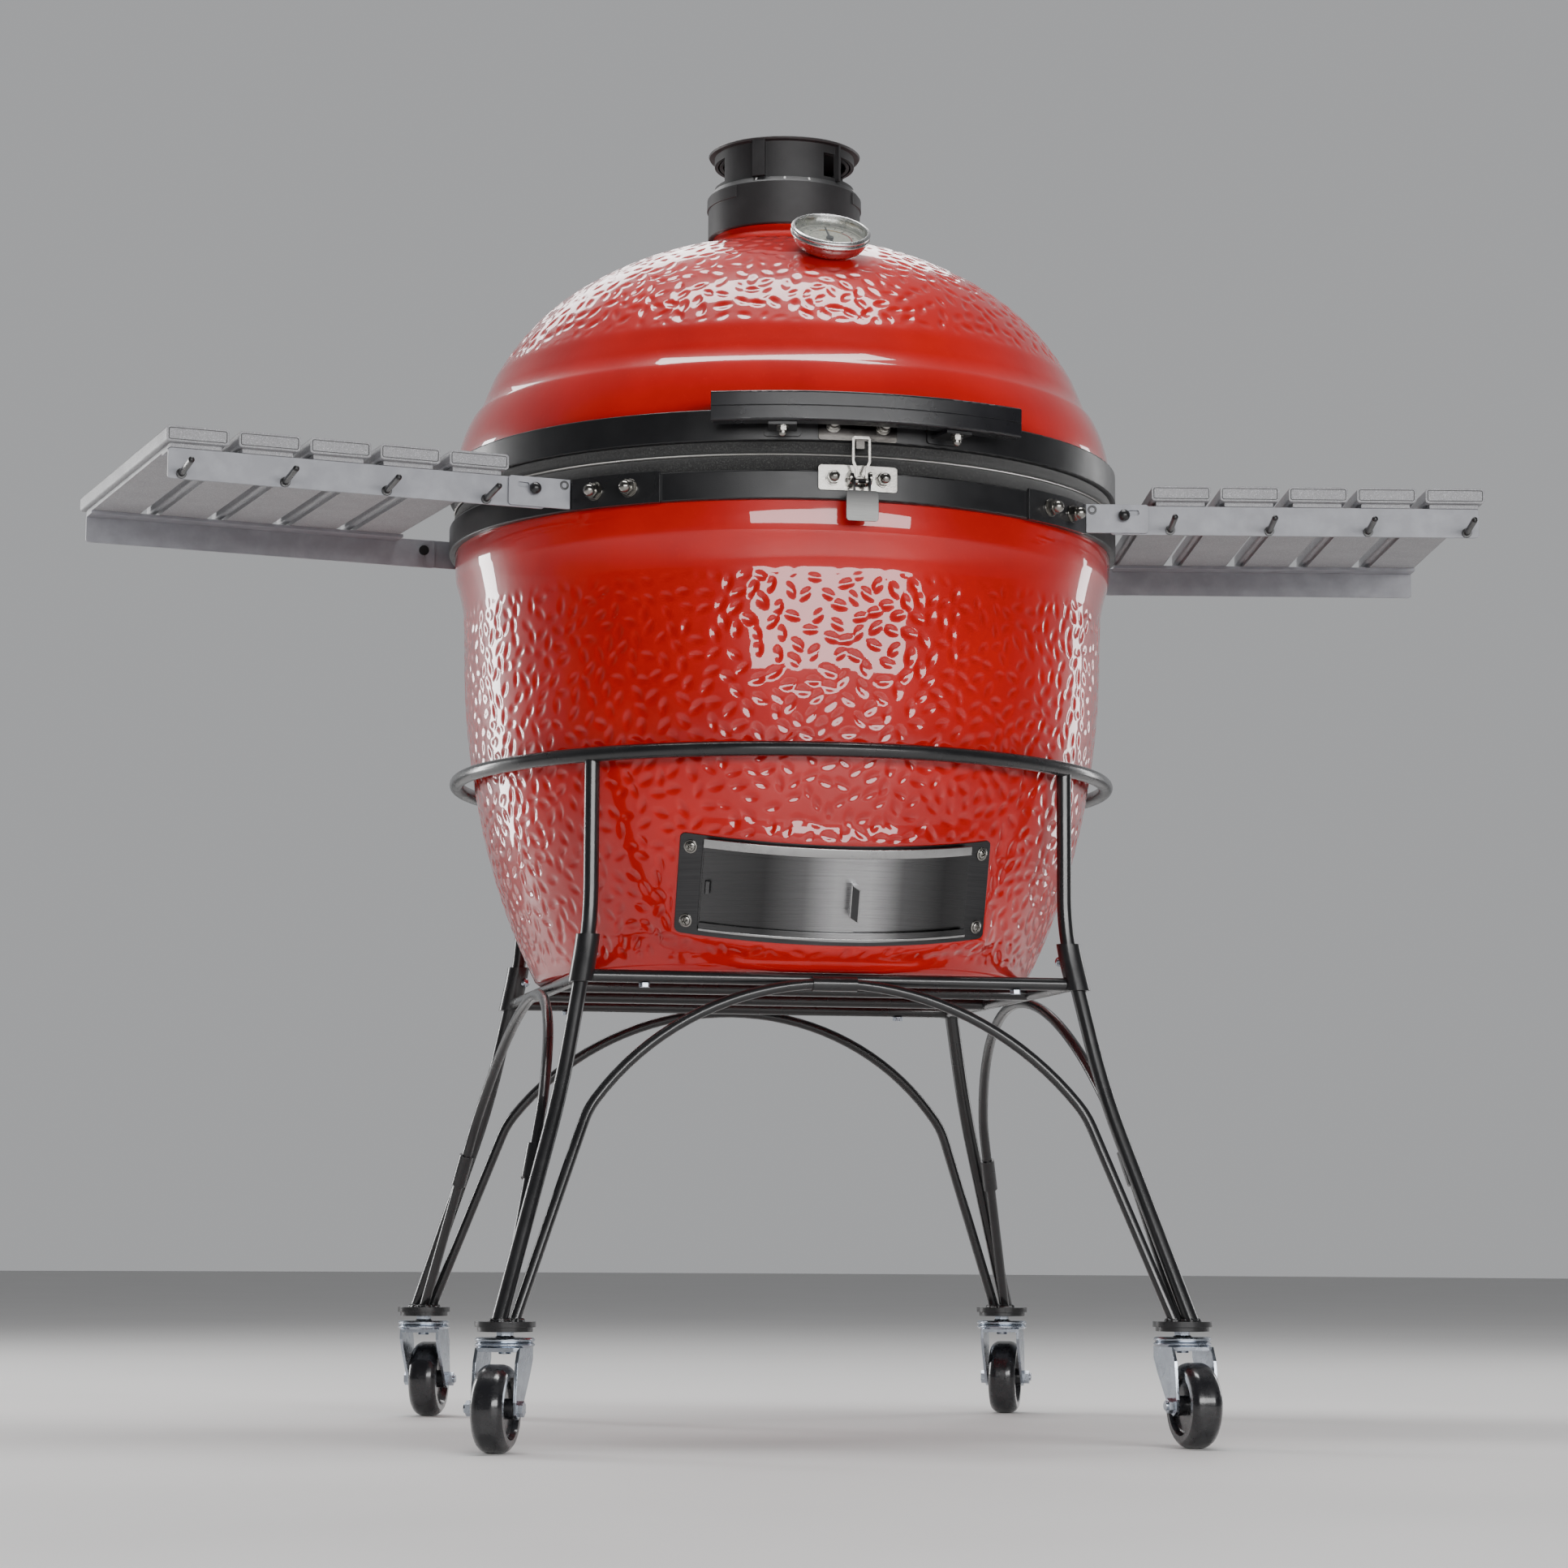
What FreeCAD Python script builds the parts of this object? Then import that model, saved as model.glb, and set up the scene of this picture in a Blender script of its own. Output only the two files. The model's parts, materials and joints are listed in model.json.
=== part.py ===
import FreeCAD, Part
import math
import os

# Kamado ceramic grill on a tubular cart with two folding side shelves.
# Millimetres, +Z up, origin on the floor under the axis of the ceramic body.
# The front, with the lid handle, latch and draft door, faces -Y.

V = FreeCAD.Vector
ORIGIN = V(0, 0, 0)
UP = V(0, 0, 1)
FRONT = -90.0            # polar angle of the front, in degrees from +X

# ---- driving dimensions ----
BAND_R = 332.0           # outside of the two steel bands
SEAM_Z = 900.0           # height at which the two gaskets meet
RUN_GAP = 0.3            # space between curved faces of parts that move apart
FIT_GAP = 0.05           # radial running clearance of a pin in its hole

# ceramic body
CERAMIC_R = 325.8        # ceramic radius behind the bands
RIM_IN_R = 296.0         # inside radius of both rims
DOME_RIM_Z = SEAM_Z + 9.5
BOWL_RIM_Z = SEAM_Z - 15.0
BOWL_BASE_Z = 430.0
BOWL_FLOOR_Z = 456.0
NECK_R = 72.0
NECK_TOP_Z = 1204.0
FLUE_R = 50.0
UPPER_BAND = (910.3, 939.8)
LOWER_BAND = (856.2, 883.1)
BAND_WALL = 2.6
PLATE_IN = BAND_R + 0.3  # inner face of every plate that is bolted to a band

# lid handle
HANDLE_R = (352.0, 371.0)
HANDLE_Z = (921.0, 948.5)
HANDLE_HALF_DEG = 23.3
HANDLE_BRACKET_DEG = 13.2
HANDLE_TURN = 1.2        # the handle sits this far round towards +X, in degrees

# latch
LATCH_PIN = (-341.0, 875.0)      # lever pivot, y and z
LOOP_PIN = (-346.0, 871.0)       # loop pivot on the lever, y and z
LOOP_TOP_Z = 912.5

# vent on top of the dome
VENT_R = 76.7
VENT_Z = (1184.5, 1233.0)
VENT_TOP_Z = 1274.2
WINDOW_Z = (1237.5, 1261.5)
TOWER_R = 65.5
DRUM_R = 70.5

# thermometer
GAUGE_TILT = 37.0
GAUGE_AT = V(0, -203.0, 1121.5)
GAUGE_R = 38.4
BOSS_R = 12.0            # foot of the case, let into a flat seat in the glaze
BOSS_LOW = -0.6
STEM_R = 4.0
DOME_WALL = 26.4         # depth of the ceramic along the thermometer's stem

# draft door, ash drawer and their frame, on a cylinder that leans forward
DOOR_TILT = 19.0
DOOR_MID_Z = 498.0
DOOR_Y = -275.0
DOOR_R = 285.0
DOOR_HALF_W = 147.0
DOOR_HALF_H = 47.0
FRAME_T = 2.0
SEAT_EDGE = 3.0          # width of the ceramic seat outside the frame
OPENING_HALF_W = 106.0
OPENING_HALF_H = 36.0
PAN_HALF_W = 98.0
PAN_Z = (476.0, 514.0)

# cart
RING_R = 321.0
RING_Z = 627.8
TUBE_R = 7.0
ARCH_R = 5.0
POST_RHO = 319.0
PLATE_AT = 311.0         # caster plate centres, x and y
PLATE_Z = (108.0, 113.0)
PLATE_RAD = 27.0
SLEEVE_Z = (418.0, 462.0)
SLEEVE_R = 11.0
BAR_R = 6.0
BAR_Z = BOWL_BASE_Z - BAR_R - 0.05   # the bowl stands on the bars
BAR_AT = 232.0

# casters
WHEEL_R = 38.3
WHEEL_W = 28.5
TRAIL = 27.0
RACE_R = 26.5
CASTER_YAW = {"fl": -23.0, "fr": 4.0, "rl": 160.0, "rr": 158.0}

# side shelves, each in its own frame turned forward about the vertical
SHELF_SWEEP = 10.6
ARM_Y = 169.0
ARM_X = (310.0, 664.0)
ARM_Z = (856.0, 883.7)
ARM_T = 3.0
FLANGE_W = 22.0
HINGE_X = 322.0
HINGE_Z = 873.0
SLAT_W = 56.8
SLAT_PITCH = 65.7
SLAT_Z = (887.6, 902.0)
SLAT_OVER = 9.3          # past the front and rear arms
SLAT_END_OVER = 4.0      # past the outer ends of the arms
SLATS = 5
HOOKS = 4
HOOK_X = (367.0, 652.0)
HOOK_Z = 860.5
HOOK_R = 2.9
HOOK_REACH = 38.0
HOOK_RISE = 5.5

parts = {}


# ---- helpers ----

def at(r, z):
    return V(r, 0, z)


def outline(start, *steps):
    """Closed wire in the XZ plane. A step is a point, or (via, end) for an arc."""
    here = at(*start)
    first = here
    edges = []
    for step in steps:
        if isinstance(step[0], tuple):
            via = at(*step[0])
            end = at(*step[1])
            edges.append(Part.Arc(here, via, end).toShape())
        else:
            end = at(*step)
            edges.append(Part.makeLine(here, end))
        here = end
    if here.distanceToPoint(first) > 1e-6:
        edges.append(Part.makeLine(here, first))
    return Part.Wire(edges)


def turned(start, *steps):
    """Solid of revolution about Z from a half profile."""
    face = Part.Face(outline(start, *steps))
    return face.revolve(ORIGIN, UP, 360)


def tube_ring(r_in, r_out, z0, z1):
    outer = Part.makeCylinder(r_out, z1 - z0, V(0, 0, z0))
    return outer.cut(Part.makeCylinder(r_in, z1 - z0 + 2, V(0, 0, z0 - 1)))


def rotated(shape, deg, axis=UP, centre=ORIGIN):
    copy = shape.copy()
    copy.rotate(centre, axis, deg)
    return copy


def moved(shape, x=0, y=0, z=0):
    copy = shape.copy()
    copy.translate(V(x, y, z))
    return copy


def block(x0, x1, y0, y1, z0, z1):
    return Part.makeBox(x1 - x0, y1 - y0, z1 - z0, V(x0, y0, z0))


def rod(a, b, r):
    axis = b.sub(a)
    return Part.makeCylinder(r, axis.Length, a, axis)


def rounded_prism(x0, x1, z0, z1, r, y0, y1):
    """Rounded rectangle in the XZ plane, extruded along Y from y0 to y1."""
    k = r * (1 - math.sqrt(0.5))
    wire = outline(
        (x0 + r, z0), (x1 - r, z0), ((x1 - k, z0 + k), (x1, z0 + r)),
        (x1, z1 - r), ((x1 - k, z1 - k), (x1 - r, z1)),
        (x0 + r, z1), ((x0 + k, z1 - k), (x0, z1 - r)),
        (x0, z0 + r), ((x0 + k, z0 + k), (x0 + r, z0)))
    face = Part.Face(wire)
    face.translate(V(0, y0, 0))
    return face.extrude(V(0, y1 - y0, 0))


def curved_plate(r0, r1, x0, x1, z0, z1, corner):
    """Plate bent round the Z axis, facing -Y, with rounded corners."""
    shell = tube_ring(r0, r1, z0 - 1, z1 + 1)
    return shell.common(rounded_prism(x0, x1, z0, z1, corner, -r1 - 5, 0))


def fuse(shapes):
    body = shapes[0]
    if len(shapes) > 1:
        body = body.fuse(shapes[1:])
    return body.removeSplitter()


def group(shapes):
    solids = []
    for shape in shapes:
        solids.extend(shape.Solids)
    return Part.makeCompound(solids)


def sweep(edges, r):
    """Round bar of radius r along a chain of edges."""
    path = Part.Wire(edges)
    start = edges[0].valueAt(edges[0].FirstParameter)
    tangent = edges[0].tangentAt(edges[0].FirstParameter)
    profile = Part.Wire([Part.makeCircle(r, start, tangent)])
    return path.makePipeShell([profile], True, False)


def bent_path(points, radii):
    """Straight runs joined by tangent arcs, one radius for each inner point."""
    edges = []
    here = points[0]
    for i, radius in enumerate(radii, start=1):
        corner = points[i]
        a = points[i - 1].sub(corner).normalize()
        b = points[i + 1].sub(corner).normalize()
        half = a.getAngle(b) / 2
        reach = radius / math.tan(half)
        p0 = corner.add(V(a).multiply(reach))
        p1 = corner.add(V(b).multiply(reach))
        middle = a.add(b).normalize()
        centre = corner.add(V(middle).multiply(radius / math.sin(half)))
        via = centre.sub(V(middle).multiply(radius))
        edges.append(Part.makeLine(here, p0))
        edges.append(Part.Arc(p0, via, p1).toShape())
        here = p1
    edges.append(Part.makeLine(here, points[-1]))
    return edges


def hexagon(across, height, base, axis):
    """Hexagonal prism, across flats, standing on base along axis."""
    r = across / math.sqrt(3)
    corners = [V(r * math.cos(math.radians(60 * i)), r * math.sin(math.radians(60 * i)), 0)
               for i in range(7)]
    prism = Part.Face(Part.makePolygon(corners)).extrude(V(0, 0, height))
    prism.Placement = FreeCAD.Placement(base, FreeCAD.Rotation(UP, axis))
    return prism


def acorn_nut(across, base, axis):
    """Washer, hexagon and domed cap in one solid, standing on base along axis."""
    washer_t = across * 0.1
    hex_t = across * 0.45
    cap_r = across * 0.44
    washer = Part.makeCylinder(across * 0.66, washer_t)
    prism = hexagon(across, hex_t, V(0, 0, washer_t), UP)
    collar = Part.makeCylinder(cap_r, cap_r * 0.4, V(0, 0, washer_t + hex_t))
    cap = Part.makeSphere(cap_r, V(0, 0, washer_t + hex_t + cap_r * 0.4), UP, 0, 90, 360)
    nut = fuse([washer, prism, collar, cap])
    nut.Placement = FreeCAD.Placement(base, FreeCAD.Rotation(UP, axis))
    return nut


def domed_head(r, height, base, axis):
    """Low domed screw head standing on base along axis."""
    bulge = (r * r + height * height) / (2 * height)
    ball = Part.makeSphere(bulge, V(0, 0, height - bulge))
    head = ball.common(Part.makeCylinder(r, height))
    head.Placement = FreeCAD.Placement(base, FreeCAD.Rotation(UP, axis))
    return head


def radial(deg, r, z):
    """Point at an azimuth measured from the front, positive towards +X."""
    a = math.radians(FRONT + deg)
    return V(r * math.cos(a), r * math.sin(a), z)


def outward(deg):
    return radial(deg, 1, 0)


def drilled(shape, a, b, r):
    return shape.cut(rod(a, b, r))


# ---- ceramic body ----

def dome():
    body = turned(
        (RIM_IN_R, DOME_RIM_Z), (CERAMIC_R - 2, DOME_RIM_Z), (CERAMIC_R, DOME_RIM_Z + 3),
        (CERAMIC_R, 944.0), ((322.5, 962.0), (311.1, 990.3)),
        ((304.5, 999.0), (299.5, 1009.5)),
        ((257.0, 1078.5), (197.2, 1126.1)),
        ((146.5, 1150.8), (96.0, 1165.5)),
        ((80.5, 1171.5), (NECK_R, 1183.0)), (NECK_R, NECK_TOP_Z),
        (FLUE_R, NECK_TOP_Z), (FLUE_R, 1146.0), (85.0, 1141.0),
        ((136.0, 1127.0), (183.0, 1104.0)), ((259.0, 1033.0), (RIM_IN_R, 950.0)))
    hole = rod(gauge_point(0, 60), gauge_point(0, -60), STEM_R + 0.6)
    seat = rod(gauge_point(0, BOSS_LOW), gauge_point(0, 20), BOSS_R + 0.1)
    return body.cut([hole, seat])


def bowl():
    """Lower body with its hollow, the draft mouth, and a raised seat for the draft frame."""
    body = turned(
        (0, BOWL_BASE_Z), (232.0, BOWL_BASE_Z), ((239.8, 432.4), (243.5, 439.0)),
        ((281.5, 533.0), (302.1, 618.1)), ((312.2, 690.0), (315.4, 762.0)),
        (316.6, 796.0), ((319.6, 812.0), (324.2, 828.0)), ((325.4, 837.0), (CERAMIC_R, 846.0)),
        (CERAMIC_R, BOWL_RIM_Z - 3), (CERAMIC_R - 2, BOWL_RIM_Z), (0, BOWL_RIM_Z))
    hollow = turned(
        (0, BOWL_FLOOR_Z), (220.0, BOWL_FLOOR_Z), ((246.0, 492.0), (264.0, 560.0)),
        ((285.0, 690.0), (290.0, 820.0)), (RIM_IN_R, BOWL_RIM_Z), (RIM_IN_R, BOWL_RIM_Z + 5),
        (0, BOWL_RIM_Z + 5))
    wide = DOOR_HALF_W + SEAT_EDGE
    high = DOOR_HALF_H + SEAT_EDGE
    leaning = Part.makeCylinder(DOOR_R - FRAME_T, 400, V(0, 0, -200))
    seat = rounded_prism(-wide, wide, -high, high, 6, -400, 0)
    pad = rounded_prism(-wide, wide, -high, high, 6, -400, -205).common(leaning)
    mouth = block(-OPENING_HALF_W, OPENING_HALF_W, -400, -150, PAN_Z[0] - 10, PAN_Z[1] + 26)
    body = body.cut(door_place(seat.cut(leaning)))
    return fuse([body, door_place(pad)]).cut([hollow, mouth])


def hoop(z0, z1):
    """Rolled steel band with its two edges turned in against the ceramic."""
    lip_r = CERAMIC_R + 0.2
    wall_r = BAND_R - BAND_WALL
    bend = 1.6
    soft = bend * (1 - math.sqrt(0.5))
    return turned(
        (lip_r, z0), (BAND_R - bend, z0), ((BAND_R - soft, z0 + soft), (BAND_R, z0 + bend)),
        (BAND_R, z1 - bend), ((BAND_R - soft, z1 - soft), (BAND_R - bend, z1)), (lip_r, z1),
        (lip_r, z1 - BAND_WALL), (wall_r, z1 - BAND_WALL), (wall_r, z0 + BAND_WALL),
        (lip_r, z0 + BAND_WALL))


def upper_gasket():
    low = SEAM_Z + RUN_GAP / 2
    return turned(
        (300.0, DOME_RIM_Z), (300.0, low + 2), (302.0, low), (322.5, low),
        ((325.6, low + 4.0), (323.0, DOME_RIM_Z)))


def lower_gasket():
    top = SEAM_Z - RUN_GAP / 2
    return turned(
        (300.0, BOWL_RIM_Z), (322.5, BOWL_RIM_Z), ((325.7, top - 7.5), (322.5, top)),
        (302.0, top), (300.0, top - 2))


# ---- interior ----

FIRE_TOP_Z = 720.0
LEDGE_Z = 560.0


def firebox_panels():
    """Six ceramic staves standing in a ring; the front one stops above the ash drawer."""
    profile = outline(
        (181.0, 458.0), (205.0, 458.0), (262.0, FIRE_TOP_Z), (236.0, FIRE_TOP_Z),
        (206.0, LEDGE_Z + 2), (206.0, LEDGE_Z), (190.0, LEDGE_Z))
    stave = Part.Face(profile).revolve(ORIGIN, UP, 59.4)
    stave.rotate(ORIGIN, UP, FRONT - 29.7)
    staves = [rotated(stave, 60 * i) for i in range(6)]
    gate_z = PAN_Z[1] + 12
    gate = block(-160, 160, -300, -95, 400, gate_z)
    tunnel = block(-PAN_HALF_W - 6, PAN_HALF_W + 6, -300, -95, 400, gate_z)
    return group([staves[0].cut(gate)] + [s.cut(tunnel) for s in staves[1:]])


def charcoal_grate():
    plate = Part.makeCylinder(203.0, 10.0, V(0, 0, LEDGE_Z))
    slots = []
    for i in range(-6, 7):
        x = 27.0 * i
        half = math.sqrt(188.0 ** 2 - x * x)
        for y0, y1 in ((-half, -8.0), (8.0, half)):
            slots.append(block(x - 6, x + 6, y0, y1, LEDGE_Z - 1, LEDGE_Z + 11))
    return plate.cut(slots)


RACK_Z = 866.0
RACK_R = 262.0


def grill_rack():
    """Wire stand that carries the cooking grates above the fire."""
    rings = [Part.makeTorus(RACK_R, 4.0, V(0, 0, RACK_Z)),
             Part.makeTorus(248.0, 4.0, V(0, 0, FIRE_TOP_Z + 4.0))]
    legs = [rod(radial(40 + 90 * i, 248.0, FIRE_TOP_Z + 4.0), radial(40 + 90 * i, RACK_R, RACK_Z), 3.6)
            for i in range(4)]
    return fuse(rings + legs)


def half_grate():
    """Half-moon cooking grate cut from plate, with its straight edge along X."""
    r = 266.0
    edge = 2.0
    z = RACK_Z + 4.0
    wires = [Part.Wire([Part.makeLine(V(-r + 0.01, edge, z), V(r - 0.01, edge, z)),
                        Part.Arc(V(r - 0.01, edge, z), V(0, r, z), V(-r + 0.01, edge, z)).toShape()])]
    for i in range(-13, 14):
        x = 18.6 * i
        top = math.sqrt((r - 9) ** 2 - (abs(x) + 6) ** 2)
        if top > 24:
            wires.append(Part.makePolygon([
                V(x - 6, edge + 9, z), V(x + 6, edge + 9, z), V(x + 6, top, z),
                V(x - 6, top, z), V(x - 6, edge + 9, z)]))
    return Part.Face(wires, "Part::FaceMakerBullseye").extrude(V(0, 0, 5.0))


def cooking_grates():
    rear = half_grate()
    return group([rear, rotated(rear, 180)])


# ---- handle ----

def handle_bar():
    r0, r1 = HANDLE_R
    z0, z1 = HANDLE_Z
    seam = (z0 + z1) / 2
    c = 2.0
    k = c * (1 - math.sqrt(0.5))
    profile = outline(
        (r0 + c, z0), (r1 - c, z0), ((r1 - k, z0 + k), (r1, z0 + c)),
        (r1, seam - 0.5), (r1 - 0.7, seam), (r1, seam + 0.5),
        (r1, z1 - c), ((r1 - k, z1 - k), (r1 - c, z1)),
        (r0 + c, z1), ((r0 + k, z1 - k), (r0, z1 - c)),
        (r0, z0 + c), ((r0 + k, z0 + k), (r0 + c, z0)))
    bar = Part.Face(profile).revolve(ORIGIN, UP, 2 * HANDLE_HALF_DEG)
    bar.rotate(ORIGIN, UP, FRONT + HANDLE_TURN - HANDLE_HALF_DEG)
    return bar


def handle_bracket():
    """Bent steel plate at the front: one leg on the band, one under the handle."""
    foot = curved_plate(PLATE_IN, PLATE_IN + 2.5, -17, 17, 913.5, 938.0, 3)
    shelf = block(-13, 13, -HANDLE_R[1] + 6, -PLATE_IN - 1.2, HANDLE_Z[0] - 3.0, HANDLE_Z[0] - 0.2)
    rib = block(-1.5, 1.5, -346.0, -PLATE_IN - 1.2, HANDLE_Z[0] - 3.0, 934.0)
    return fuse([foot, shelf, rib])


def handle_brackets():
    bracket = handle_bracket()
    return group([rotated(bracket, HANDLE_TURN + s * HANDLE_BRACKET_DEG) for s in (-1, 1)])


# ---- latch ----

def latch_strip(z0, z1):
    return curved_plate(PLATE_IN, PLATE_IN + 2.0, -37, 37, z0, z1, 3)


def across_x(x0, x1, y, z, r):
    return Part.makeCylinder(r, x1 - x0, V(x0, y, z), V(1, 0, 0))


def latch_base():
    strip = latch_strip(864.5, 888.0)
    y, z = LATCH_PIN
    ears = []
    for x in (-10.4, 8.4):
        ear = across_x(x, x + 2.0, y, z, 6.0)
        web = block(x, x + 2.0, y, -PLATE_IN - 1.0, z - 6.0, z + 6.0)
        ears.extend([ear, web])
    pin = across_x(-11.6, 11.6, y, z, 2.0)
    return fuse([strip] + ears + [pin])


def latch_striker():
    strip = latch_strip(911.0, 937.0)
    face = PLATE_IN + 1.0
    root = block(-4, 4, -face - 1.6, -face, 902.0, 913.0)
    floor = block(-4, 4, -342.4, -face, 902.0, 904.0)
    lip = block(-4, 4, -342.4, -340.6, 902.0, 909.0)
    return fuse([strip, root, floor, lip])


def latch_lever():
    y, z = LATCH_PIN
    ly, lz = LOOP_PIN
    cheeks = []
    for x in (-8.0, 6.4):
        cheek = fuse([across_x(x, x + 1.6, y, z, 4.6), across_x(x, x + 1.6, ly, lz, 4.2),
                      block(x, x + 1.6, -351.0, -345.0, 858.0, lz)])
        cheeks.append(drilled(cheek, V(-20, y, z), V(20, y, z), 2.0 + FIT_GAP))
    pin = across_x(-8.0, 8.0, ly, lz, 1.6)
    tab = rounded_prism(-15, 15, 833.5, 861.5, 3, -351.6, -350.0)
    bridge = block(-8, 8, -351.0, -347.6, 858.0, 861.0)
    return fuse(cheeks + [pin, tab, bridge])


def latch_loop():
    """Pressed loop: a wide window that narrows to two eyes on the lever pin."""
    y, z = LOOP_PIN
    top = LOOP_TOP_Z
    outer = outline((-5.9, z), (-5.9, 882.0), (-8.8, 889.0), (-8.8, top - 2), (-6.8, top),
                    (6.8, top), (8.8, top - 2), (8.8, 889.0), (5.9, 882.0), (5.9, z))
    inner = outline((-3.6, z - 2), (-3.6, 882.8), (-6.4, 889.8), (-6.4, top - 2.4),
                    (6.4, top - 2.4), (6.4, 889.8), (3.6, 882.8), (3.6, z - 2))
    plates = []
    for wire in (outer, inner):
        face = Part.Face(wire)
        face.translate(V(0, y - 0.8, 0))
        plates.append(face.extrude(V(0, 1.6, 0)))
    strap = plates[0].cut(plates[1])
    eyes = [across_x(x, x + 2.3, y, z, 3.2) for x in (-5.9, 3.6)]
    return drilled(fuse([strap] + eyes), V(-20, y, z), V(20, y, z), 1.6 + FIT_GAP)


# ---- thermometer ----

def gauge_point(side, height):
    """Point in the thermometer's own frame: across its face, and out along its axis."""
    t = math.radians(GAUGE_TILT)
    return GAUGE_AT.add(V(side, -height * math.sin(t), height * math.cos(t)))


def gauge_axis():
    t = math.radians(GAUGE_TILT)
    return V(0, -math.sin(t), math.cos(t))


def gauge_place(shape):
    shape.Placement = FreeCAD.Placement(GAUGE_AT, FreeCAD.Rotation(V(1, 0, 0), GAUGE_TILT))
    return shape


def gauge_case():
    cup = turned(
        (0, 3.0), (23.0, 3.0), ((31.6, 7.5), (35.8, 14.0)), (36.5, 17.0), (GAUGE_R, 18.0),
        (GAUGE_R, 23.0), ((37.6, 25.0), (36.0, 25.2)), (34.4, 22.0), (34.4, 12.0), (0, 12.0))
    boss = Part.makeCylinder(BOSS_R, 3.6 - BOSS_LOW, V(0, 0, BOSS_LOW))
    stem = Part.makeCylinder(STEM_R, 92.0, V(0, 0, -88.0))
    return gauge_place(fuse([cup, boss, stem]))


def gauge_dial():
    return gauge_place(Part.makeCylinder(33.8, 1.0, V(0, 0, 12.0)))


def gauge_needle():
    hub = Part.makeCylinder(3.6, 1.8, V(0, 0, 13.3))
    points = [V(-1.6, -10, 13.6), V(1.6, -10, 13.6), V(0.5, 27, 13.6), V(-0.5, 27, 13.6), V(-1.6, -10, 13.6)]
    blade = Part.Face(Part.makePolygon(points)).extrude(V(0, 0, 0.6))
    needle = fuse([hub, blade])
    needle.rotate(ORIGIN, UP, 118)
    return gauge_place(needle)


def gauge_glass():
    return gauge_place(Part.makeCylinder(34.2, 1.8, V(0, 0, 20.0)))


# ---- vent ----

def window_cutter(r_in, r_out, z0, z1, start, sweep_deg):
    profile = outline((r_in, z0), (r_out, z0), (r_out, z1), (r_in, z1))
    cutter = Part.Face(profile).revolve(ORIGIN, UP, sweep_deg)
    cutter.rotate(ORIGIN, UP, FRONT + start)
    return cutter


def vent_base():
    """Collar on the neck with a fixed inner tower that has two windows."""
    z0, z1 = VENT_Z
    collar = turned(
        (NECK_R + 0.3, z0), (VENT_R - 1, z0), (VENT_R, z0 + 1), (VENT_R, z1 - 5.5), (DRUM_R + 2.2, z1),
        (DRUM_R + 1.5, z1), (DRUM_R + 1.5, NECK_TOP_Z + 4.2), (TOWER_R, NECK_TOP_Z + 4.2),
        (TOWER_R, 1264.0), (TOWER_R - 3.5, 1264.0), (TOWER_R - 3.5, NECK_TOP_Z + 0.2),
        (NECK_R + 0.3, NECK_TOP_Z + 0.2))
    windows = [window_cutter(55, 68, *WINDOW_Z, a, 86.0) for a in (24.0, 204.0)]
    body = collar.cut(windows)
    step = turned((VENT_R - 2, 1214.0), (VENT_R + 1.2, 1215.0), (VENT_R + 1.0, 1226.0), (VENT_R - 2, 1227.0))
    keep = [window_cutter(60, 90, 1200.0, 1232.0, a, 70.0) for a in (-120.0, 50.0)]
    steps = step.common(Part.makeCompound(keep))
    return fuse([body] + steps.Solids)


def vent_cap():
    """Drum that turns on the tower, with two windows, grip fins and a thin rain cap."""
    low = NECK_TOP_Z + 4.6
    drum = turned(
        (DRUM_R - 3.6, low), (DRUM_R, low), (DRUM_R, 1269.8), (VENT_R - 1.2, 1270.4),
        (VENT_R - 0.2, 1272.2), (VENT_R - 1.2, 1273.2), (40.0, 1273.6), (0, VENT_TOP_Z),
        (0, 1268.8), (40.0, 1268.8), (DRUM_R - 3.6, 1267.6))
    windows = [window_cutter(64, 73, *WINDOW_Z, a, 88.0) for a in (22.0, 202.0)]
    body = drum.cut(windows)
    fin_z = (VENT_Z[1] + 1.0, 1270.6)
    wide = [window_cutter(DRUM_R - 2.0, VENT_R - 0.8, *fin_z, a, 10.0) for a in (-37.0, 143.0)]
    thin = [window_cutter(DRUM_R - 2.0, VENT_R - 0.8, *fin_z, a, 2.0) for a in (34.0, 214.0)]
    return fuse([body] + wide + thin)


# ---- draft door and ash drawer ----

def door_place(shape):
    """From the frame of the leaning cylinder (axis Z, front -Y) to the grill."""
    t = math.radians(DOOR_TILT)
    middle = V(0, DOOR_Y + DOOR_R * math.cos(t), DOOR_MID_Z + DOOR_R * math.sin(t))
    copy = shape.copy()
    copy.Placement = FreeCAD.Placement(middle, FreeCAD.Rotation(V(1, 0, 0), DOOR_TILT))
    return copy


def frame_plate():
    return curved_plate(DOOR_R - FRAME_T, DOOR_R, -DOOR_HALF_W, DOOR_HALF_W, -DOOR_HALF_H, DOOR_HALF_H, 5)


def draft_frame():
    plate = frame_plate()
    hole = block(-OPENING_HALF_W, OPENING_HALF_W, -400, 0, -OPENING_HALF_H, OPENING_HALF_H)
    return door_place(plate.cut(hole))


def draft_screws():
    screws = []
    for x in (-138.0, 138.0):
        for z in (-35.0, 35.0):
            y = -math.sqrt(DOOR_R ** 2 - x * x)
            axis = V(x, y, 0).normalize()
            head = domed_head(5.0, 2.6, V(x, y, z).sub(V(axis).multiply(0.1)), axis)
            washer = Part.makeCylinder(6.4, 0.8, V(x, y, z).add(V(axis).multiply(0.05)), axis)
            screws.append(fuse([washer, moved(head, *V(axis).multiply(0.6))]))
    plate = frame_plate()
    return group([door_place(s.cut(plate)) for s in screws])


FRONT_X = (-128.0, 124.0)
FRONT_IN = DOOR_R + 0.4
STOP_X = (-124.5, -121.0)


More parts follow.
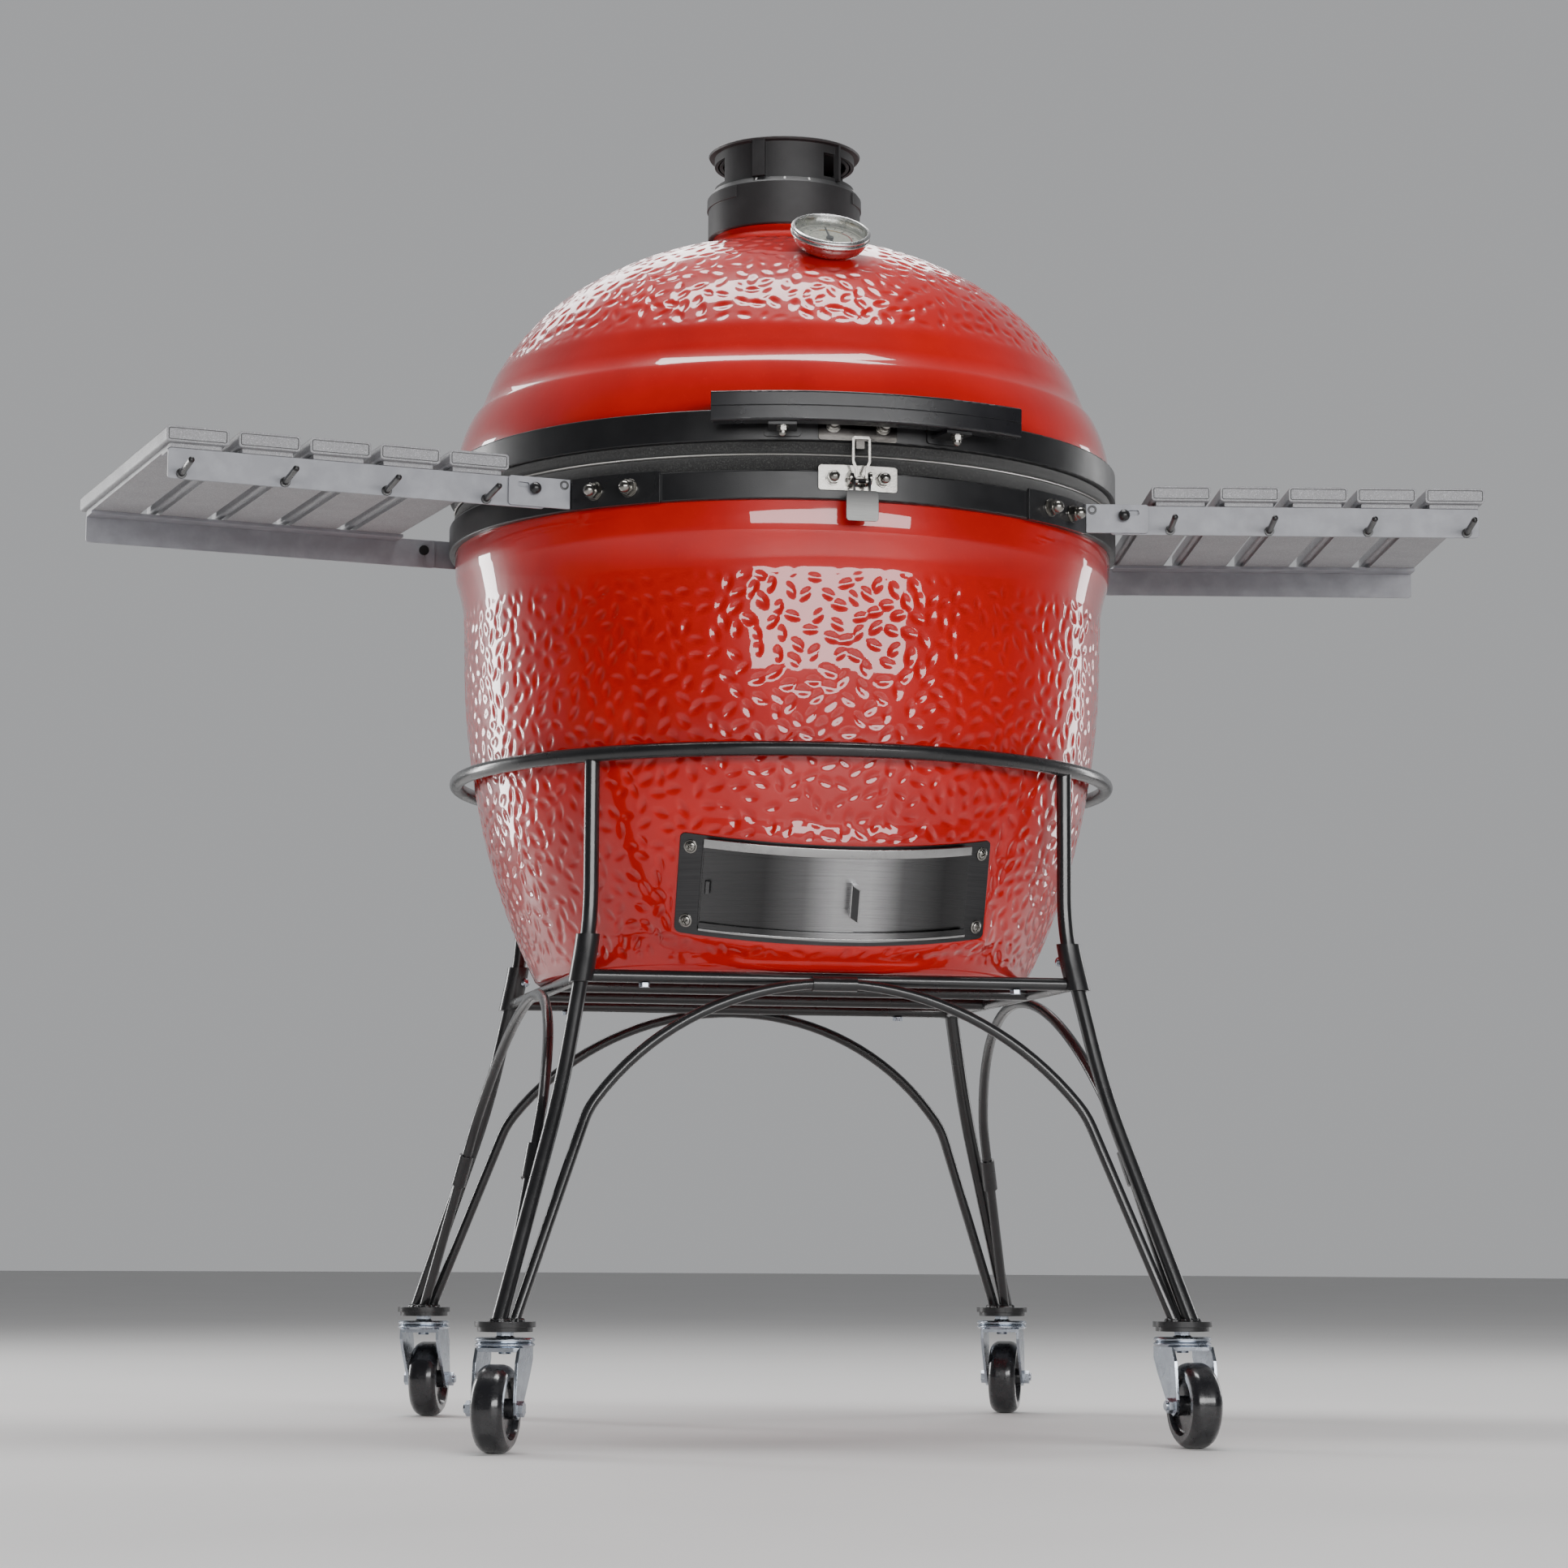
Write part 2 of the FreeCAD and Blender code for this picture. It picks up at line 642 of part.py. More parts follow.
def drawer_front():
    """Curved front of the ash drawer with two folded rails and an air window."""
    x0, x1 = FRONT_X
    skin = curved_plate(FRONT_IN, FRONT_IN + 1.4, x0, x1, -42, 42, 1.5)
    skin = skin.cut(block(x0 + 16, -8, -400, 0, -29, 29))
    pieces = [skin]
    for low, high, lip in ((37.5, 42.0, (33.5, 42.0)), (-42.0, -37.5, (-42.0, -33.5))):
        pieces.append(curved_plate(FRONT_IN, FRONT_IN + 6.0, x0, x1, low, high, 1.0))
        pieces.append(curved_plate(FRONT_IN + 4.6, FRONT_IN + 6.0, x0, x1, lip[0], lip[1], 1.0))
    return door_place(fuse(pieces))


def draft_door():
    """Sliding damper in the rails, with a bent finger tab on its right edge."""
    r = FRONT_IN + 1.4 + RUN_GAP
    panel = curved_plate(r, r + 1.2, -127.0, 12.0, -36.8, 36.8, 1.0)
    tab = rounded_prism(6.0, 12.0, -16.0, 14.0, 1.5, -r - 12.0, -r - 0.6)
    edge = -math.sqrt(r * r - STOP_X[1] ** 2) - 0.2
    stop = block(*STOP_X, edge - 5.0, edge, -6, 6)
    return door_place(fuse([panel, tab, stop]))


def ash_pan():
    """Sheet tray behind the drawer front, open on top."""
    t = math.radians(DOOR_TILT)
    z0, z1 = PAN_Z
    w = PAN_HALF_W
    outer = block(-w, w, -320, -60, z0, z1)
    inner = block(-w + 1.5, w - 1.5, -320, -61.5, z0 + 1.5, z1 + 5)
    big = door_place(Part.makeCylinder(FRONT_IN, 500, V(0, 0, -250)))
    small = door_place(Part.makeCylinder(FRONT_IN - 1.5, 500, V(0, 0, -250)))
    return outer.common(big).cut(inner.common(small))


# ---- cart ----

CORNERS = {"fl": (-1, -1), "fr": (1, -1), "rl": (-1, 1), "rr": (1, 1)}


def diagonal(rho, z, name):
    sx, sy = CORNERS[name]
    k = rho / math.sqrt(2)
    return V(sx * k, sy * k, z)


def leg_path(name):
    """Vertical post, a slight kick at the sleeve, then a leg that splays out."""
    points = [diagonal(POST_RHO, RING_Z, name), diagonal(POST_RHO, 472.0, name),
              diagonal(360.0, 322.0, name), diagonal(449.0, PLATE_Z[1], name)]
    return bent_path(points, [260.0, 700.0])


def slab(z0, z1):
    return block(-600, 600, -600, 600, z0, z1)


def cart_ring():
    return Part.makeTorus(RING_R, TUBE_R, V(0, 0, RING_Z))


def leg_bars():
    """Whole bent bars, one for each corner, before they are cut at the sleeves."""
    return {name: sweep(leg_path(name), TUBE_R) for name in CORNERS}


SPLIT_Z = 440.0


def cart_posts(bars):
    ring = cart_ring()
    return group([bar.common(slab(SPLIT_Z + 0.5, RING_Z)).cut(ring) for bar in bars.values()])


def leg_tubes(bars):
    """Splayed legs, each with the sleeve at its top that takes the post."""
    legs = []
    for name, bar in bars.items():
        sleeve = sweep(leg_path(name), SLEEVE_R).common(slab(*SLEEVE_Z)).cut(bar)
        legs.append(fuse([bar.common(slab(PLATE_Z[1], SPLIT_Z)), sleeve]))
    return group(legs)


def cross_bars(legs):
    bars = []
    for i in range(4):
        bars.append(rotated(rod(V(-BAR_AT, -BAR_AT, BAR_Z), V(BAR_AT, -BAR_AT, BAR_Z), BAR_R), 90 * i))
    inner = [rod(V(-BAR_AT, y, BAR_Z), V(BAR_AT, y, BAR_Z), BAR_R) for y in (-80.0, 80.0)]
    sides = Part.makeCompound([bars[1], bars[3]])
    return group([b.cut(legs) for b in bars] + [b.cut(sides) for b in inner])


ARCH_CROWN = V(0, -(BAR_AT + BAR_R + ARCH_R + 0.1), 420.0)
ARCH_FOOT_Y = -312.0
ARCH_CROWN_R = 283.0
ARCH_SHOULDER_R = 80.0
ARCH_TURN = math.radians(53.0)
ARCH_LEG = math.radians(70.1)


def arch_point(u, v):
    """Point in the arch's own plane: u to the right, v down the slope from the crown."""
    fall = V(0, ARCH_FOOT_Y - ARCH_CROWN.y, PLATE_Z[1] - ARCH_CROWN.z).normalize()
    return ARCH_CROWN.add(V(u, 0, 0)).add(fall.multiply(v))


def arch_half():
    """Key points of the right half: shoulder start, shoulder end and foot."""
    u0 = ARCH_CROWN_R * math.sin(ARCH_TURN)
    v0 = ARCH_CROWN_R * (1 - math.cos(ARCH_TURN))
    u1 = u0 + ARCH_SHOULDER_R * (math.sin(ARCH_LEG) - math.sin(ARCH_TURN))
    v1 = v0 + ARCH_SHOULDER_R * (math.cos(ARCH_TURN) - math.cos(ARCH_LEG))
    mid = (ARCH_TURN + ARCH_LEG) / 2
    um = u0 + ARCH_SHOULDER_R * (math.sin(mid) - math.sin(ARCH_TURN))
    vm = v0 + ARCH_SHOULDER_R * (math.cos(ARCH_TURN) - math.cos(mid))
    slope = math.hypot(ARCH_FOOT_Y - ARCH_CROWN.y, ARCH_CROWN.z - PLATE_Z[1])
    u2 = u1 + (slope - v1) / math.tan(ARCH_LEG)
    return (u0, v0), (um, vm), (u1, v1), (u2, slope)


def arch_edges():
    (u0, v0), (um, vm), (u1, v1), (u2, v2) = arch_half()
    return [
        Part.makeLine(arch_point(-u2, v2), arch_point(-u1, v1)),
        Part.Arc(arch_point(-u1, v1), arch_point(-um, vm), arch_point(-u0, v0)).toShape(),
        Part.Arc(arch_point(-u0, v0), arch_point(0, 0), arch_point(u0, v0)).toShape(),
        Part.Arc(arch_point(u0, v0), arch_point(um, vm), arch_point(u1, v1)).toShape(),
        Part.makeLine(arch_point(u1, v1), arch_point(u2, v2))]


def front_arch():
    return sweep(arch_edges(), ARCH_R).common(slab(PLATE_Z[1], 600))


def arch_clamps(arches):
    """Wrapped pad round the front crown, and a splice sleeve on each side-arch leg."""
    wrap = Part.makeCylinder(ARCH_R + 1.8, 42.0, V(-21, ARCH_CROWN.y, ARCH_CROWN.z - 0.6), V(1, 0, 0))
    wrap = wrap.cut(rod(V(-BAR_AT, -BAR_AT, BAR_Z), V(BAR_AT, -BAR_AT, BAR_Z), BAR_R))
    pieces = [wrap]
    (u1, v1), (u2, v2) = arch_half()[2:]
    for s in (-1, 1):
        a = arch_point(s * (u1 + 0.12 * (u2 - u1)), v1 + 0.12 * (v2 - v1))
        b = arch_point(s * (u1 + 0.29 * (u2 - u1)), v1 + 0.29 * (v2 - v1))
        splice = rod(a, b, ARCH_R + 2.4)
        pieces.extend([rotated(splice, 90), rotated(splice, -90)])
    return group([p.cut(arches) for p in pieces])


def caster_plates():
    plates = []
    for sx, sy in CORNERS.values():
        x = sx * PLATE_AT
        y = sy * PLATE_AT
        disc = Part.makeCylinder(PLATE_RAD, 5.0, V(x, y, PLATE_Z[0]))
        rim = Part.makeCylinder(PLATE_RAD - 2.5, 4.0, V(x, y, PLATE_Z[0] - 4))
        rim = rim.cut(Part.makeCylinder(PLATE_RAD - 6, 6.0, V(x, y, PLATE_Z[0] - 5)))
        plates.append(fuse([disc, rim]))
    return group(plates)


RACE_TOP_Z = 99.0


def caster_races():
    """Fixed upper race of each caster with its stem and hexagon nut."""
    races = []
    for sx, sy in CORNERS.values():
        race = turned((0, 94.8), (RACE_R - 1.6, 94.8), (RACE_R, 96.4), (RACE_R, 97.6),
                      (RACE_R - 1.6, RACE_TOP_Z), (9.0, RACE_TOP_Z), (7.0, 100.4), (0, 100.4))
        nut = hexagon(13.0, PLATE_Z[0] - 100.4, V(0, 0, 100.4), UP)
        stem = Part.makeCylinder(3.0, 10.0, V(0, 0, 85.5))
        peened = Part.makeCylinder(5.5, 2.1, V(0, 0, 84.6))
        races.append(moved(fuse([race, nut, stem, peened]), sx * PLATE_AT, sy * PLATE_AT))
    return group(races)


def cart_bolts(legs):
    bolts = []
    for name in CORNERS:
        inward = diagonal(-1, 0, name)
        base = diagonal(POST_RHO + 5.0 - SLEEVE_R - 0.2, 446.0, name)
        bolts.append(fuse([domed_head(4.6, 3.4, base, inward),
                           rod(base.sub(V(inward).multiply(0.1)), base.sub(V(inward).multiply(3.0)), 4.6)]))
    for sx in (-1, 1):
        for sy in (-1, 1):
            bolts.append(hexagon(9.0, 4.0, V(sx * 176, sy * BAR_AT, BAR_Z - BAR_R - 4.0), UP))
    return group([b.cut(legs) for b in bolts])


# ---- casters ----

AXLE_Y = -TRAIL
FORK_IN = 17.6
FORK_OUT = 20.4


def caster_fork():
    """Swivel fork with its lower race and axle bolt, trailing towards -Y."""
    race = turned((3.0 + FIT_GAP, 90.4), (RACE_R - 2.0, 90.4), (RACE_R, 92.2), (RACE_R, 93.0),
                  (RACE_R - 1.6, 94.4), (3.0 + FIT_GAP, 94.4))
    crown = block(-FORK_OUT, FORK_OUT, -27.0, 20.0, 87.0, 90.6)
    crown = crown.common(Part.makeCylinder(31.0, 10, V(0, 0, 85)))
    crown = crown.cut(Part.makeCylinder(3.0 + FIT_GAP, 10, V(0, 0, 85)))
    cheek_points = [V(0, 20, 90.6), V(0, -24, 90.6), V(0, -31, 78), V(0, -36, 44), V(0, -34, 33),
                    V(0, -27, 29), V(0, -19, 32), V(0, 12, 68), V(0, 20, 80), V(0, 20, 90.6)]
    cheeks = []
    for x in (-FORK_OUT, FORK_IN):
        face = Part.Face(Part.makePolygon([V(x, p.y, p.z) for p in cheek_points]))
        cheeks.append(face.extrude(V(FORK_OUT - FORK_IN, 0, 0)))
    frame = fuse([race, crown] + cheeks)
    axle = across_x(-FORK_OUT - 1, FORK_OUT + 1, AXLE_Y, WHEEL_R, 4.0)
    frame = frame.cut(axle)
    ends = [hexagon(12.0, 5.0, V(FORK_OUT, AXLE_Y, WHEEL_R), V(1, 0, 0)),
            hexagon(12.0, 6.0, V(-FORK_OUT, AXLE_Y, WHEEL_R), V(-1, 0, 0))]
    bolt = fuse([across_x(-FORK_OUT - 8, FORK_OUT + 4, AXLE_Y, WHEEL_R, 4.0)] + ends)
    return group([frame, bolt])


def caster_wheel():
    """Tread and hub in one moulding, on a bushing that clears the axle."""
    h = WHEEL_W / 2
    hub_r = 9.0
    profile = outline(
        (4.0 + FIT_GAP, -FORK_IN + 0.4), (hub_r, -FORK_IN + 0.4), (hub_r, -h + 5), (25.0, -h + 5),
        (27.0, -h), (WHEEL_R - 6, -h), ((WHEEL_R - 1.5, -h + 4), (WHEEL_R, -h + 10)), (WHEEL_R, h - 10),
        ((WHEEL_R - 1.5, h - 4), (WHEEL_R - 6, h)), (27.0, h), (25.0, h - 5), (hub_r, h - 5),
        (hub_r, FORK_IN - 0.4), (4.0 + FIT_GAP, FORK_IN - 0.4))
    wheel = Part.Face(profile).revolve(ORIGIN, UP, 360)
    wheel.rotate(ORIGIN, V(0, 1, 0), 90)
    return moved(wheel, 0, AXLE_Y, WHEEL_R)


def at_corner(shape, name):
    sx, sy = CORNERS[name]
    return moved(rotated(shape, CASTER_YAW[name]), sx * PLATE_AT, sy * PLATE_AT)


# ---- side shelves, drawn for the right side and mirrored for the left ----

def on_right(shape):
    return rotated(shape, -SHELF_SWEEP)


def on_left(shape):
    return rotated(shape, -SHELF_SWEEP).mirror(ORIGIN, V(1, 0, 0))


def shelf_arm(side):
    """Angle-section arm; side is -1 at the front and +1 at the rear."""
    x0, x1 = ARM_X
    z0, z1 = ARM_Z
    inner = side * ARM_Y
    outer = side * (ARM_Y + ARM_T)
    y0, y1 = sorted((inner, outer))
    web = rounded_prism(x0, x1, z0, z1, 3.0, y0, y1)
    f0, f1 = sorted((side * (ARM_Y - FLANGE_W), inner))
    flange = block(x0 + 40, x1, f0, f1, z1 - ARM_T, z1)
    arm = fuse([web, flange])
    return drilled(arm, V(HINGE_X, -300, HINGE_Z), V(HINGE_X, 300, HINGE_Z), 3.0 + FIT_GAP)


def shelf_arms():
    return [shelf_arm(-1), shelf_arm(1)]


def slat_starts():
    last = ARM_X[1] + SLAT_END_OVER - SLAT_W
    return [last - SLAT_PITCH * i for i in range(SLATS)]


def shelf_slats():
    """Boards with eased edges, each on a narrower foot that stands on the two arms."""
    half = ARM_Y + ARM_T + SLAT_OVER
    slats = []
    for x in slat_starts():
        board = rounded_prism(x, x + SLAT_W, *SLAT_Z, 3.0, -half, half)
        foot = block(x + 5, x + SLAT_W - 5, -half + 7, half - 7, ARM_Z[1], SLAT_Z[0] + 1)
        slats.append(fuse([board, foot]))
    return slats


def hook_xs():
    pitch = (HOOK_X[1] - HOOK_X[0]) / (HOOKS - 1)
    return [HOOK_X[0] + pitch * i for i in range(HOOKS)]


def shelf_hooks():
    """Round pegs on the front arm for tools, rising a little outward to a rounded end."""
    face = -(ARM_Y + ARM_T)
    pegs = []
    for x in hook_xs():
        root = V(x, face, HOOK_Z)
        tip = V(x, face - HOOK_REACH, HOOK_Z + HOOK_RISE)
        collar = rod(root, V(x, face - 2.0, HOOK_Z), HOOK_R + 1.8)
        start = V(x, face - 1.0, HOOK_Z)
        pegs.append(fuse([collar, rod(start, tip, HOOK_R), Part.makeSphere(HOOK_R, tip)]))
    return pegs


def hinge_plate(side):
    """Flat cheek outside the arm that carries the hinge pin."""
    y0, y1 = sorted((side * (ARM_Y + ARM_T + 0.3), side * (ARM_Y + ARM_T + 3.0)))
    reach = math.sqrt(BAND_R ** 2 - (ARM_Y + ARM_T) ** 2)
    plate = rounded_prism(reach - 8.0, 346.0, 857.0, 884.5, 3.0, y0, y1)
    plate = plate.cut(Part.makeCylinder(PLATE_IN + 3.2, 60, V(0, 0, 840)))
    slot = rounded_prism(HINGE_X + 4.0, HINGE_X + 15.0, HINGE_Z + 1.0, HINGE_Z + 6.0, 2.0, y0 - 1, y1 + 1)
    notch = rounded_prism(HINGE_X - 3.2, HINGE_X + 3.2, HINGE_Z - 3.2, HINGE_Z + 3.2, 3.0, y0 - 1, y1 + 1)
    return plate.cut([slot, notch])


KNOB_R = 5.6


def hinge_pin_shelf(side):
    """Shoulder pin with a round knob outside the cheek."""
    inner = side * (ARM_Y - 3.0)
    outer = side * (ARM_Y + ARM_T + 3.2)
    middle = V(HINGE_X, outer + side * KNOB_R, HINGE_Z)
    shank = rod(V(HINGE_X, inner, HINGE_Z), middle, 3.0)
    knob = Part.makeSphere(KNOB_R, middle)
    clip = rod(V(HINGE_X, inner, HINGE_Z), V(HINGE_X, inner + side * 2.0, HINGE_Z), 5.0)
    return fuse([shank, knob, clip])


def band_plate(side):
    """Curved foot on the lower band, under two acorn nuts, in the shelf's frame."""
    reach = math.degrees(math.atan2(math.sqrt(BAND_R ** 2 - ARM_Y ** 2), ARM_Y))
    start = reach - 1.2
    foot = window_cutter(PLATE_IN, PLATE_IN + 3.0, 855.4, 884.6, start - 16.0, 16.0)
    if side > 0:
        foot = foot.mirror(ORIGIN, V(0, 1, 0))
    return foot


NUT_DEGS = (36.8, 43.1)
NUT_Z = 870.5


def nut_points(side):
    """Azimuths of the shelf nuts of one bracket on the right, in the grill's frame."""
    if side < 0:
        return list(NUT_DEGS)
    return [180.0 - 2 * SHELF_SWEEP - a for a in NUT_DEGS]


def both(shapes):
    return group([on_right(s) for s in shapes] + [on_left(s) for s in shapes])


def band_nuts():
    nuts = []
    for side in (-1, 1):
        for deg in nut_points(side):
            for s in (-1, 1):
                nuts.append(acorn_nut(13.0, radial(s * deg, PLATE_IN + 3.05, NUT_Z), outward(s * deg)))
    for s in (-1, 1):
        nuts.append(acorn_nut(11.0, radial(s * 4.0, PLATE_IN + 2.05, 876.0), outward(s * 4.0)))
        nuts.append(acorn_nut(13.0, radial(180 + s * 9.0, PLATE_IN + 4.05, 866.0), outward(180 + s * 9.0)))
    return group(nuts)


def lid_fasteners():
    fasteners = []
    for s in (-1, 1):
        fasteners.append(acorn_nut(11.0, radial(s * 4.0, PLATE_IN + 2.05, 925.0), outward(s * 4.0)))
        fasteners.append(acorn_nut(13.0, radial(180 + s * 9.0, PLATE_IN + 4.05, 925.0), outward(180 + s * 9.0)))
        spot = radial(HANDLE_TURN + s * HANDLE_BRACKET_DEG, 359.0, HANDLE_Z[0] - 3.05)
        fasteners.append(acorn_nut(9.0, spot, V(0, 0, -1)))
        fasteners.append(domed_head(3.2, 2.0, radial(-52 + 90 * s, VENT_R + 0.05, 1190.0), outward(-52 + 90 * s)))
    stem_nut = hexagon(14.0, 6.0, gauge_point(0, -DOME_WALL), V(0, 0, 0).sub(gauge_axis()))
    fasteners.append(stem_nut.cut(rod(gauge_point(0, 0), gauge_point(0, -60), STEM_R)))
    return group(fasteners)


# ---- rear hinge ----

HINGE_AXIS = (356.0, SEAM_Z)     # y and z of the lid hinge
PIN_R = 5.0


def hinge_lug(x0, x1, low):
    """One lug round the hinge pin, reaching in to the band plate below or above."""
    y, z = HINGE_AXIS
    eye = across_x(x0, x1, y, z, 13.0)
    if low:
        web = block(x0, x1, PLATE_IN + 2, y + 9.0, z - 34.0, z - 4.0)
    else:
        web = block(x0, x1, PLATE_IN + 2, y + 4.0, z + 10.6, z + 34.0)
        web = fuse([web, block(x0, x1, y - 9.0, y + 9.0, z, z + 14.0)])
    return [eye, web]


def hinge_lower():
    y, z = HINGE_AXIS
    plate = rotated(curved_plate(PLATE_IN, PLATE_IN + 4.0, -70, 70, 855.6, 884.4, 4), 180)
    pieces = [plate]
    for x0 in (-42.0, 36.0):
        pieces.extend(hinge_lug(x0, x0 + 6.0, True))
    body = fuse(pieces)
    return drilled(body, V(-60, y, z), V(60, y, z), PIN_R + FIT_GAP)


def hinge_upper():
    y, z = HINGE_AXIS
    plate = rotated(curved_plate(PLATE_IN, PLATE_IN + 4.0, -70, 70, 911.0, 939.0, 4), 180)
    pieces = [plate]
    for x0 in (-34.6, 28.6):
        pieces.extend(hinge_lug(x0, x0 + 6.0, False))
    body = fuse(pieces)
    return drilled(body, V(-60, y, z), V(60, y, z), PIN_R + FIT_GAP)


def hinge_pin():
    y, z = HINGE_AXIS
    return fuse([across_x(-46, 46, y, z, PIN_R), across_x(-47, -43, y, z, 8.0), across_x(43, 47, y, z, 8.0)])


def hinge_spring():
    """Counterbalance torsion spring round the hinge pin."""
    y, z = HINGE_AXIS
    mean_r = 8.6
    pitch = 4.4
    height = 48.0
    helix = Part.makeHelix(pitch, height, mean_r)
    circle = Part.Wire([Part.makeCircle(2.0, V(mean_r, 0, 0), V(0, 1, 0))])
    coil = Part.Wire(helix.Edges).makePipeShell([circle], True, True)
    coil.rotate(ORIGIN, V(0, 1, 0), 90)
    return moved(coil, -height / 2, y, z)


# ---- assembly ----

def build():
    parts["dome"] = dome()
    parts["bowl"] = bowl()
    parts["upper_band"] = hoop(*UPPER_BAND)
    parts["lower_band"] = hoop(*LOWER_BAND)
    parts["upper_gasket"] = upper_gasket()
    parts["lower_gasket"] = lower_gasket()
    parts["firebox_panels"] = firebox_panels()
    parts["charcoal_grate"] = charcoal_grate()
    parts["grill_rack"] = grill_rack()
    parts["cooking_grates"] = cooking_grates()
    parts["handle_bar"] = handle_bar()
    parts["handle_brackets"] = handle_brackets()
    parts["latch_base"] = latch_base()
    parts["latch_striker"] = latch_striker()
    parts["latch_lever"] = latch_lever()
    parts["latch_loop"] = latch_loop()
    parts["gauge_case"] = gauge_case()
    parts["gauge_dial"] = gauge_dial()
    parts["gauge_needle"] = gauge_needle()
    parts["gauge_glass"] = gauge_glass()
    parts["vent_base"] = vent_base()
    parts["vent_cap"] = vent_cap()
    parts["draft_frame"] = draft_frame()
    parts["draft_screws"] = draft_screws()
    parts["drawer_front"] = drawer_front()
    parts["draft_door"] = draft_door()
    parts["ash_pan"] = ash_pan()
    build_cart()
    build_shelves()
    parts["band_nuts"] = band_nuts()
    parts["lid_fasteners"] = lid_fasteners()
    parts["hinge_lower"] = hinge_lower()
    parts["hinge_upper"] = hinge_upper()
    parts["hinge_pin"] = hinge_pin()
    parts["hinge_spring"] = hinge_spring()


def build_cart():
    bars = leg_bars()
    legs = leg_tubes(bars)
    front = front_arch()
    left = rotated(front, -90)
    right = rotated(front, 90)
    rear = rotated(front, 180)
    parts["cart_ring"] = cart_ring()
    parts["cart_posts"] = cart_posts(bars)
    parts["leg_tubes"] = legs
    parts["cross_bars"] = cross_bars(legs)
    parts["end_arches"] = group([front, rear])
    parts["side_arches"] = group([left, right])
    parts["arch_clamps"] = arch_clamps(Part.makeCompound([front, left, right, rear]))
    parts["caster_plates"] = caster_plates()
    parts["caster_races"] = caster_races()
    parts["cart_bolts"] = cart_bolts(legs)
    fork = caster_fork()
    wheel = caster_wheel()
    for name in CORNERS:
        parts["caster_fork_" + name] = at_corner(fork, name)
        parts["caster_wheel_" + name] = at_corner(wheel, name)


def build_shelves():
    for label, place in (("left", on_left), ("right", on_right)):
        parts["shelf_arms_" + label] = group([place(s) for s in shelf_arms()])
        parts["shelf_slats_" + label] = group([place(s) for s in shelf_slats()])
        parts["shelf_hooks_" + label] = group([place(s) for s in shelf_hooks()])
    parts["shelf_feet"] = both([band_plate(-1), band_plate(1)])
    parts["shelf_hinge_plates"] = both([hinge_plate(-1), hinge_plate(1)])
    parts["shelf_pins"] = both([hinge_pin_shelf(-1), hinge_pin_shelf(1)])


def export():
    os.makedirs("parts", exist_ok=True)
    for node, shape in parts.items():
        shape.exportStep("parts/" + node + ".step")
        box = shape.BoundBox
        print(node, shape.isValid(), len(shape.Solids), round(shape.Volume / 1000, 2),
              [round(v) for v in (box.XMin, box.XMax, box.YMin, box.YMax, box.ZMin, box.ZMax)])
    print(len(parts), "nodes")


build()
export()
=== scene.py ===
import json
import math

import bmesh
import bpy
import numpy as np
from mathutils import Matrix, Vector


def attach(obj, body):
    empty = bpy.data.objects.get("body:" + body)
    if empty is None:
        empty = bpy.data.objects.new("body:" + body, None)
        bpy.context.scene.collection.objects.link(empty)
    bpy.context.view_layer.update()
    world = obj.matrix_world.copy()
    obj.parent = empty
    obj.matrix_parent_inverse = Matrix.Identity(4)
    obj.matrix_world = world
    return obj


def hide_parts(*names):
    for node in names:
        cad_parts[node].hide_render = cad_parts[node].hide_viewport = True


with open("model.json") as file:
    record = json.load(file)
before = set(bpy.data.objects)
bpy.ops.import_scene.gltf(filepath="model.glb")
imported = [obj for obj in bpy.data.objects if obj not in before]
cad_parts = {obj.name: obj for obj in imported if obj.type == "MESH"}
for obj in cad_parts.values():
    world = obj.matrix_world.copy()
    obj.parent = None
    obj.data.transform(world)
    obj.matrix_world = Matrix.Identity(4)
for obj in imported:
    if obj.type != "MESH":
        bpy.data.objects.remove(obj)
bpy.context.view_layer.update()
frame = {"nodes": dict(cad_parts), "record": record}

# Metres throughout, in the frame of the part.
# +Z is up, -Y is towards the front, and the origin is on the floor under the body.

# ---- driving dimensions ----
SEAM_Z = 0.900           # where the two gaskets meet
CERAMIC_R = 0.3258
RIM_IN_R = 0.296
DOME_RIM_Z = SEAM_Z + 0.0095
BOWL_RIM_Z = SEAM_Z - 0.015
GAUGE_TILT = math.radians(37.0)
GAUGE_AT = Vector((0, -0.203, 1.1215))
DOOR_TILT = math.radians(19.0)
DOOR_MID_Z = 0.498
DOOR_Y = -0.275
DOOR_R = 0.285
DOOR_HALF_W = 0.147
DOOR_HALF_H = 0.047
MOUTH_HALF_W = 0.106
MOUTH_Z = (0.466, 0.540)
GLAZE_COLUMNS = 1200     # mesh columns round the ceramic body
GLAZE_STEP = 0.0018      # mesh row spacing where the glaze is dimpled


# ---- mesh helpers ----

def arc(start, via, end, count):
    """Points after start on the circle through three points, ending at end."""
    a, b, c = (complex(*p) for p in (start, via, end))
    w = (c - a) / (b - a)
    centre = a + (b - a) * (w - abs(w) ** 2) / (2j * w.imag)
    r = abs(a - centre)
    t0 = np.angle(a - centre)
    t1 = np.angle((b - centre) / (a - centre))
    t2 = np.angle((c - centre) / (a - centre))
    if t1 * t2 < 0 or abs(t2) < abs(t1):
        t2 -= math.copysign(2 * math.pi, t2)
    turn = t0 + t2 * np.arange(1, count + 1) / count
    return [(centre.real + r * math.cos(t), centre.imag + r * math.sin(t)) for t in turn]


def profile(start, *steps, count=24):
    """Polyline in (r, z). A step is a point, or (via, end) for an arc."""
    points = [start]
    for step in steps:
        if isinstance(step[0], tuple):
            points.extend(arc(points[-1], step[0], step[1], count))
        else:
            points.append(step)
    return np.array(points, float)


